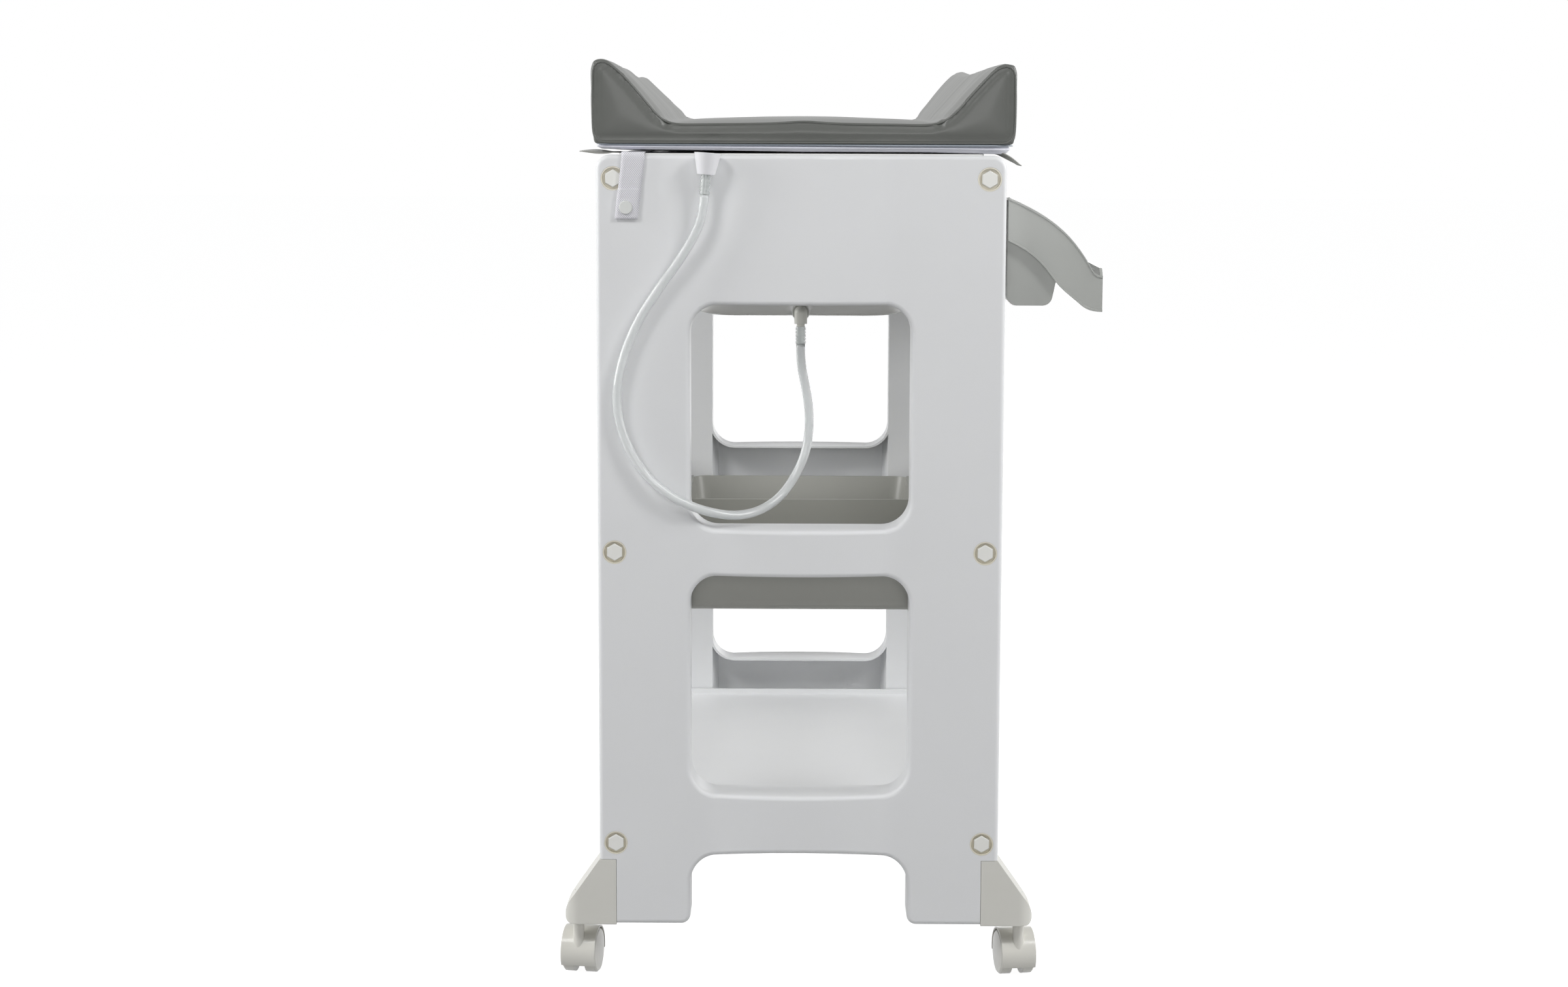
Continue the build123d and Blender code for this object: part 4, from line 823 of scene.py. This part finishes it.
def bead_tree():
    """Geometry Nodes: a curve becomes a round bead with a radius and a material."""
    tree = bpy.data.node_groups.new("bead_along_path", "GeometryNodeTree")
    tree.interface.new_socket("Path", in_out="INPUT", socket_type="NodeSocketGeometry")
    tree.interface.new_socket("Radius", in_out="INPUT", socket_type="NodeSocketFloat")
    tree.interface.new_socket("Material", in_out="INPUT", socket_type="NodeSocketMaterial")
    tree.interface.new_socket("Bead", in_out="OUTPUT", socket_type="NodeSocketGeometry")
    given = put(tree, "NodeGroupInput")
    path = put(tree, "GeometryNodeMeshToCurve", {"Mesh": given.outputs["Path"]})
    circle = put(tree, "GeometryNodeCurvePrimitiveCircle", {"Resolution": 10,
                                                            "Radius": given.outputs["Radius"]})
    sweep = put(tree, "GeometryNodeCurveToMesh", {"Curve": path.outputs["Curve"],
                                                  "Profile Curve": circle.outputs["Curve"]})
    soft = put(tree, "GeometryNodeSetShadeSmooth", {"Geometry": sweep.outputs["Mesh"]})
    real = put(tree, "GeometryNodeRealizeInstances", {"Geometry": soft.outputs["Geometry"]})
    dressed = put(tree, "GeometryNodeSetMaterial", {"Geometry": real.outputs["Geometry"],
                                                    "Material": given.outputs["Material"]})
    put(tree, "NodeGroupOutput", {"Bead": dressed.outputs["Geometry"]})
    return tree


def run_tree(made, tree, values):
    """Run a Geometry Nodes tree on an object, with its inputs by name, and keep the mesh."""
    modifier = made.modifiers.new("nodes", "NODES")
    modifier.node_group = tree
    for item in tree.interface.items_tree:
        if item.in_out == "INPUT" and item.name in values:
            modifier[item.identifier] = values[item.name]
    return applied(made)


BEADS = bead_tree()

# %% Piping round the mat's ends


def path_mesh(name, paths):
    """A mesh of bare edges along one or more closed paths."""
    points, edges = [], []
    for path in paths:
        first = len(points)
        points += [tuple(p) for p in path]
        edges += [(first + i, first + (i + 1) % len(path)) for i in range(len(path))]
    mesh = bpy.data.meshes.new(name)
    mesh.from_pydata(points, edges, [])
    return link_mesh(name, mesh)


welts = [laid_on(inset(rim, PIPING_INSET), cushion, Vector((0, -end, 0)))
         for end, rim in zip((-1, 1), rims)]
welts = [evened(welt, PIPING_POINTS) for welt in welts]
piping = run_tree(path_mesh("mat_end_piping", welts), BEADS,
                  {"Radius": PIPING_RADIUS, "Material": vinyl_grey})
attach(piping, "mat")
print("piping faces", len(piping.data.polygons))

# %% [markdown]
# ## The white base and its welded edge
# A stiff board in white vinyl lies under the foam, and where its cover is welded to the grey
# one a thin blue-grey edge stands out all round. The cover is not quite tight: its side bulges,
# its underside lifts a little at the left and sags at the right, and the edge droops in slow
# waves. Both are strips swept round one rounded rectangle, built point by point, because their
# section changes on the way.

# %% A strip round a rounded rectangle
STEPS_AROUND = 360


def rounded_loop(half_x, half_y, radius, count):
    """Points round a rounded rectangle, each with its outward direction."""
    flat_x, flat_y = 2 * (half_x - radius), 2 * (half_y - radius)
    quarter = math.pi * radius / 2
    sides = [(flat_x, (-flat_x / 2, -half_y), (1, -1)), (flat_y, (half_x, -flat_y / 2), (1, 1)),
             (flat_x, (flat_x / 2, half_y), (-1, 1)), (flat_y, (-half_x, flat_y / 2), (-1, -1))]
    result = []
    for i in range(count):
        gone = (2 * (flat_x + flat_y) + 4 * quarter) * i / count
        side = 0
        while gone > sides[side][0] + quarter:
            gone -= sides[side][0] + quarter
            side += 1
        length, start, corner = sides[side]
        way = Vector((math.cos(side * math.pi / 2), math.sin(side * math.pi / 2)))
        out = Vector((way.y, -way.x))
        if gone <= length:
            result.append((Vector(start) + way * gone, out))
        else:
            angle = (gone - length) / radius
            turned = out * math.cos(angle) + way * math.sin(angle)
            centre = Vector((corner[0] * flat_x / 2, corner[1] * flat_y / 2))
            result.append((centre + turned * radius, turned))
    return result


def strip_round(name, loop, section, material):
    """A closed band: section(share, place) gives the (outward, height) pairs at each step."""
    points, faces, width = [], [], 0
    for i, (place, out) in enumerate(loop):
        pairs = section(i / len(loop), place)
        width = len(pairs)
        for outward, height in pairs:
            spot = place + out * outward
            points.append((mat_x + spot.x, spot.y, height))
    for i in range(len(loop)):
        following = (i + 1) % len(loop)
        for j in range(width - 1):
            low, high = i * width + j, following * width + j
            faces.append((low, high, high + 1, low + 1))
    mesh = bpy.data.meshes.new(name)
    mesh.from_pydata(points, [], faces)
    mesh.materials.append(material)
    return smooth(link_mesh(name, mesh))


# %% The base's cover
BASE_CORNER = 16 * MM
LEFT_LIFT_MM = 2.4
LIFT_WAVE_MM = 0.3
RIGHT_SAG = 2.2 * MM
SIDE_BULGE_MM = 1.2
END_BULGE_MM = 3.6
COVER_ROUNDING = 1.2 * MM
base_half_x = (base_high[0] - base_low[0]) / 2
base_half_y = (base_high[1] - base_low[1]) / 2
base_loop = rounded_loop(base_half_x, base_half_y, BASE_CORNER, STEPS_AROUND)


def base_section(share, place):
    """The board's cover from the middle of its underside, round the side, to its top."""
    sideways = max(-1.0, min(1.0, place.x / base_half_x))
    lift = (LEFT_LIFT_MM * max(0.0, -sideways) + LIFT_WAVE_MM * math.sin(share * 40)) * MM
    sag = RIGHT_SAG * max(0.0, (sideways - 0.6) / 0.4)
    low, high = base_low[2] + max(lift, 0) - sag, base_high[2]
    at_ends = max(0.0, min(1.0, (abs(place.y) - base_half_y + 20 * MM) / (10 * MM)))
    bulge = (SIDE_BULGE_MM + END_BULGE_MM * at_ends) * MM
    return [(-0.6 * base_half_x, base_low[2]), (-14 * MM, low), (-2 * MM, low),
            (bulge, (low + high) / 2), (0, high), (-14 * MM, high)]


base_cover = strip_round("mat_base_cover", base_loop, base_section, vinyl_white)
shape = bmesh.new()
shape.from_mesh(base_cover.data)
bmesh.ops.holes_fill(shape, edges=[e for e in shape.edges if e.is_boundary], sides=0)
bmesh.ops.recalc_face_normals(shape, faces=shape.faces)
shape.to_mesh(base_cover.data)
shape.free()
rounding = base_cover.modifiers.new("rounding", "BEVEL")
rounding.width = COVER_ROUNDING
rounding.segments = 2
rounding.limit_method = "ANGLE"
smooth(applied(base_cover))
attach(base_cover, "mat")
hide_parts("mat_base")
print("base cover faces", len(base_cover.data.polygons))

# %% The welded edge
EDGE_THICKNESS = 1.0 * MM
EDGE_REACH_MM = 5.4
EDGE_DROP_MM = 1.5


def edge_section(share, place):
    """The welded edge: it stands out past the base and droops in slow waves."""
    wave = 0.5 * math.sin(share * 61) + 0.5 * math.sin(share * 23 + 1)
    sideways = max(-1.0, min(1.0, place.x / base_half_x))
    reach = (EDGE_REACH_MM + 1.2 * sideways + 0.4 * wave) * MM
    drop = (EDGE_DROP_MM + 0.7 * sideways + 0.4 * wave) * MM
    top = base_high[2] + 0.5 * MM
    return [(-6 * MM, top), (1 * MM, top), (0.6 * reach, top - 0.25 * drop), (reach, top - drop)]


welded_edge = strip_round("mat_welded_edge", base_loop, edge_section, vinyl_welt)
edge_wall = welded_edge.modifiers.new("wall", "SOLIDIFY")
edge_wall.thickness = EDGE_THICKNESS
edge_wall.offset = 0
smooth(applied(welded_edge))
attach(welded_edge, "mat")
print("welded edge faces", len(welded_edge.data.polygons))

# %% [markdown]
# ## Tabs and straps
# A short vinyl tab is welded under each corner of the mat, and a webbing strap at each end.
# Both are flat ribbons with a thickness, so one function lays a ribbon along a path in a
# vertical plane, across a given width, with a UV map in metres along it.

# %% Ribbons
STEPS_PER_SPAN = 16


def ribbon(name, path, across, width, thickness, material, steps_across, curl=None):
    """A flat band along a path; curl(across, along) bends it out of its plane."""
    points, faces, lengths = [], [], [0.0]
    for a, b in zip(path, path[1:]):
        lengths.append(lengths[-1] + (b - a).length)
    for i, place in enumerate(path):
        ahead = path[min(i + 1, len(path) - 1)] - path[max(i - 1, 0)]
        face = ahead.cross(across).normalized()
        for j in range(steps_across + 1):
            share = j / steps_across - 0.5
            lift = curl(share, i / (len(path) - 1)) if curl else 0.0
            points.append(tuple(place + across * (share * width) + face * lift))
    count = steps_across + 1
    for i in range(len(path) - 1):
        for j in range(steps_across):
            here, following = i * count + j, (i + 1) * count + j
            faces.append((here, following, following + 1, here + 1))
    mesh = bpy.data.meshes.new(name)
    mesh.from_pydata(points, [], faces)
    mesh.materials.append(material)
    layer = mesh.uv_layers.new(name="cloth")
    for corner in mesh.loops:
        row, column = divmod(corner.vertex_index, count)
        layer.data[corner.index].uv = (column / steps_across, lengths[row])
    made = link_mesh(name, mesh)
    wall = made.modifiers.new("wall", "SOLIDIFY")
    wall.thickness = thickness
    wall.offset = 0
    return smooth(applied(made)), lengths[-1]


def curve_through(points, count):
    """Evenly spaced points on a smooth curve through a few given ones."""
    dense = []
    for i in range(len(points) - 1):
        before = points[max(i - 1, 0)]
        here, there = points[i], points[i + 1]
        after = points[min(i + 2, len(points) - 1)]
        for k in range(STEPS_PER_SPAN):
            t = k / STEPS_PER_SPAN
            dense.append(0.5 * (2 * here + (there - before) * t
                                + (2 * before - 5 * here + 4 * there - after) * t * t
                                + (3 * here - before - 3 * there + after) * t ** 3))
    dense.append(points[-1])
    return evened(dense, count, closed=False)


# %% [markdown]
# ### Straps
# Each strap comes out from under the mat, bends down over the panel's edge and hangs in front
# of it, and its lower end is folded back up behind it. A curve through a few chosen places
# gives such a route, and its heights and depths come from the strap's box in the frame.

# %% Straps
ENDS = (("left", 1), ("right", -1))
STRAP_WIDTH = 25 * MM
STRAP_THICKNESS = 1.2 * MM
STRAP_DOWN = 0.65 * MM
STRAP_BEND = 2.5 * MM
PATH_POINTS = 90
FRONT_LAYER_OUT, BACK_LAYER_OUT = 2.1, 0.7
top_x = middle_x - 182 * MM
low_x = middle_x - 189 * MM
for end_name, end in ENDS:
    low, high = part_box(f"{end_name}_strap")
    face_y = low[1] if end > 0 else high[1]
    inside_y = high[1] if end > 0 else low[1]
    out = -end * MM
    top_z, low_z = high[2] - STRAP_DOWN, low[2]
    front_y = face_y - out * FRONT_LAYER_OUT
    back_y = face_y - out * BACK_LAYER_OUT
    turn_z = top_z - STRAP_BEND
    route = [(top_x, inside_y, top_z), (top_x, front_y - out * 10, top_z),
             (top_x, front_y - out * 2, top_z), (top_x, front_y, turn_z),
             (top_x, front_y + out * 0.2, turn_z - 5 * MM),
             ((top_x + low_x) / 2, front_y + out * 0.1, (turn_z + low_z) / 2),
             (low_x, front_y, low_z + 4 * MM),
             (low_x, (front_y + back_y) / 2 - out * 0.1, low_z + 0.7 * MM),
             (low_x, back_y, low_z + 4 * MM), (low_x + 1.2 * MM, back_y, low_z + 18 * MM),
             (low_x + 3.4 * MM, back_y, low_z + 34 * MM)]
    path = curve_through([Vector(place) for place in route], PATH_POINTS)
    strap, strap_length = ribbon(f"{end_name}_strap_webbing", path, Vector((1, 0, 0)),
                                 STRAP_WIDTH, STRAP_THICKNESS, webbing, steps_across=6)
    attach(strap, "mat")
    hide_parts(f"{end_name}_strap")
    print(end_name, "strap", round(strap_length, 4), "m long")

# %% [markdown]
# ### Tabs
# The tabs stand out from the mat's corners, nearly flat on one long side and drooping on the
# user's side. Loose vinyl never lies quite flat, so the long edges of each ribbon bend away
# from its middle, most of all halfway out.

# %% Tabs
TAB_WIDTH = 60 * MM
TAB_THICKNESS = 1.1 * MM
TAB_CURL = 3.4 * MM
FLAT_TAB_MM = [(-198, -0.9), (-207, -0.6), (-216, 0.9), (-226, 1.7), (-236, 0.9), (-241, 0.1)]
DROOPING_TAB_MM = [(198, -0.9), (208, -0.8), (215, -2.3), (223, -6.2), (231, -10.2), (239.2, -14.0)]


def tab_curl(across, along):
    """How far a tab's long edges bend away from its middle: not at the weld or at its tip."""
    return TAB_CURL * (2 * across) ** 2 * math.sin(math.pi * min(1.0, max(0.0, 1.25 * along - 0.2)))


for end_name, end in ENDS:
    low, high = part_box(f"{end_name}_mat_tabs")
    tab_y = (low[1] + high[1]) / 2
    for side_name, places in (("flat", FLAT_TAB_MM), ("drooping", DROOPING_TAB_MM)):
        path = [Vector((middle_x + x * MM, tab_y, high[2] + z * MM)) for x, z in places]
        tab, tab_length = ribbon(f"{end_name}_{side_name}_tab", curve_through(path, 24),
                                 Vector((0, 1, 0)), TAB_WIDTH, TAB_THICKNESS, vinyl_tab,
                                 steps_across=16, curl=tab_curl)
        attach(tab, "mat")
        if side_name == "drooping":
            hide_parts(f"{end_name}_mat_tabs")
        print(end_name, side_name, "tab", round(tab_length, 4), "m long")

# %% [markdown]
# ## Floor and light
# The photograph was taken on a white sweep in soft light from the front and from both sides, and
# the background is pure white. The floor and the world are white to the camera, through Is
# Camera Ray, and to reflections and clear plastic too, so that gloss and the hose show that
# white. To all other rays the world is dim, so the lamps light the object, at a level where a
# colour looks about as written.

# %% Floor and world
FLOOR_HALF = 30.0
FLOOR_GLOW = 0.94
WORLD_LEVEL = 0.15


def background_rays(tree):
    """A socket: 1 for camera, glossy and transmission rays, and 0 for all others."""
    ray = put(tree, "ShaderNodeLightPath")
    first = put(tree, "ShaderNodeMath", {0: ray.outputs["Is Camera Ray"],
                                         1: ray.outputs["Is Glossy Ray"]}, operation="MAXIMUM")
    both = put(tree, "ShaderNodeMath", {0: first.outputs[0], 1: ray.outputs["Is Transmission Ray"]},
               operation="MAXIMUM")
    return both.outputs[0]


floor_mesh = bpy.data.meshes.new("floor")
floor_mesh.from_pydata([(-FLOOR_HALF, -FLOOR_HALF, 0), (FLOOR_HALF, -FLOOR_HALF, 0),
                        (FLOOR_HALF, FLOOR_HALF, 0), (-FLOOR_HALF, FLOOR_HALF, 0)], [], [(0, 1, 2, 3)])
floor = link_mesh("floor", floor_mesh)
floor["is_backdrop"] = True
floor_white, floor_tree, floor_shader, _ = new_material("white_sweep")
glow_level = put(floor_tree, "ShaderNodeMath", {0: background_rays(floor_tree), 1: FLOOR_GLOW},
                 operation="MULTIPLY")
feed(floor_tree, floor_shader, {"Base Color": linear("A8A8A8"), "Roughness": 0.9,
                                "Specular IOR Level": 0.0, "Emission Color": linear("FFFFFF"),
                                "Emission Strength": glow_level.outputs[0]})
floor.data.materials.append(floor_white)

world = bpy.data.worlds.new("white_room")
scene.world = world
world.use_nodes = True
sky = world.node_tree
sky.nodes.clear()
room = put(sky, "ShaderNodeBackground", {"Color": linear("F8F9FB"), "Strength": WORLD_LEVEL})
paper = put(sky, "ShaderNodeBackground", {"Color": linear("FFFFFF"), "Strength": 1.0})
either = put(sky, "ShaderNodeMixShader", {0: background_rays(sky), 1: room.outputs[0],
                                          2: paper.outputs[0]})
put(sky, "ShaderNodeOutputWorld", {"Surface": either.outputs[0]})
print("floor", 2 * FLOOR_HALF, "m wide")

# %% Lamps


def soft_lamp(name, place, target, size, watts):
    """A square white area lamp, turned to a target."""
    data = bpy.data.lights.new(name, "AREA")
    data.size = size
    data.energy = watts
    lamp = bpy.data.objects.new(name, data)
    lamp.location = place
    lamp.rotation_mode = "QUATERNION"
    lamp.rotation_quaternion = (Vector(target) - Vector(place)).to_track_quat("-Z", "Y")
    scene.collection.objects.link(lamp)
    print(name, watts, "W")


soft_lamp("lamp_left", (-1.5, -2.1, 2.6), (0, 0, 0.85), 0.8, 24)
soft_lamp("lamp_right", (1.6, -2.1, 2.6), (0, 0, 0.85), 0.8, 27)
soft_lamp("lamp_front", (0, -4.2, 1.25), (0, 0, 0.6), 1.2, 20)
soft_lamp("lamp_side_left", (-2.3, -0.35, 1.3), (0, 0, 0.45), 1.2, 37)
soft_lamp("lamp_side_right", (2.3, -0.35, 1.5), (0, 0, 0.45), 1.2, 37)
soft_lamp("lamp_back", (0.8, 2.9, 0.55), (0, 0, 0.5), 1.0, 6)

scene.view_settings.view_transform = "Standard"

# %% Compare sizes and finish
dressed_box = [list(corner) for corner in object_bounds()]
for a, b in zip(cad_box, dressed_box):
    print("box", [round(v, 4) for v in a], [round(v, 4) for v in b])
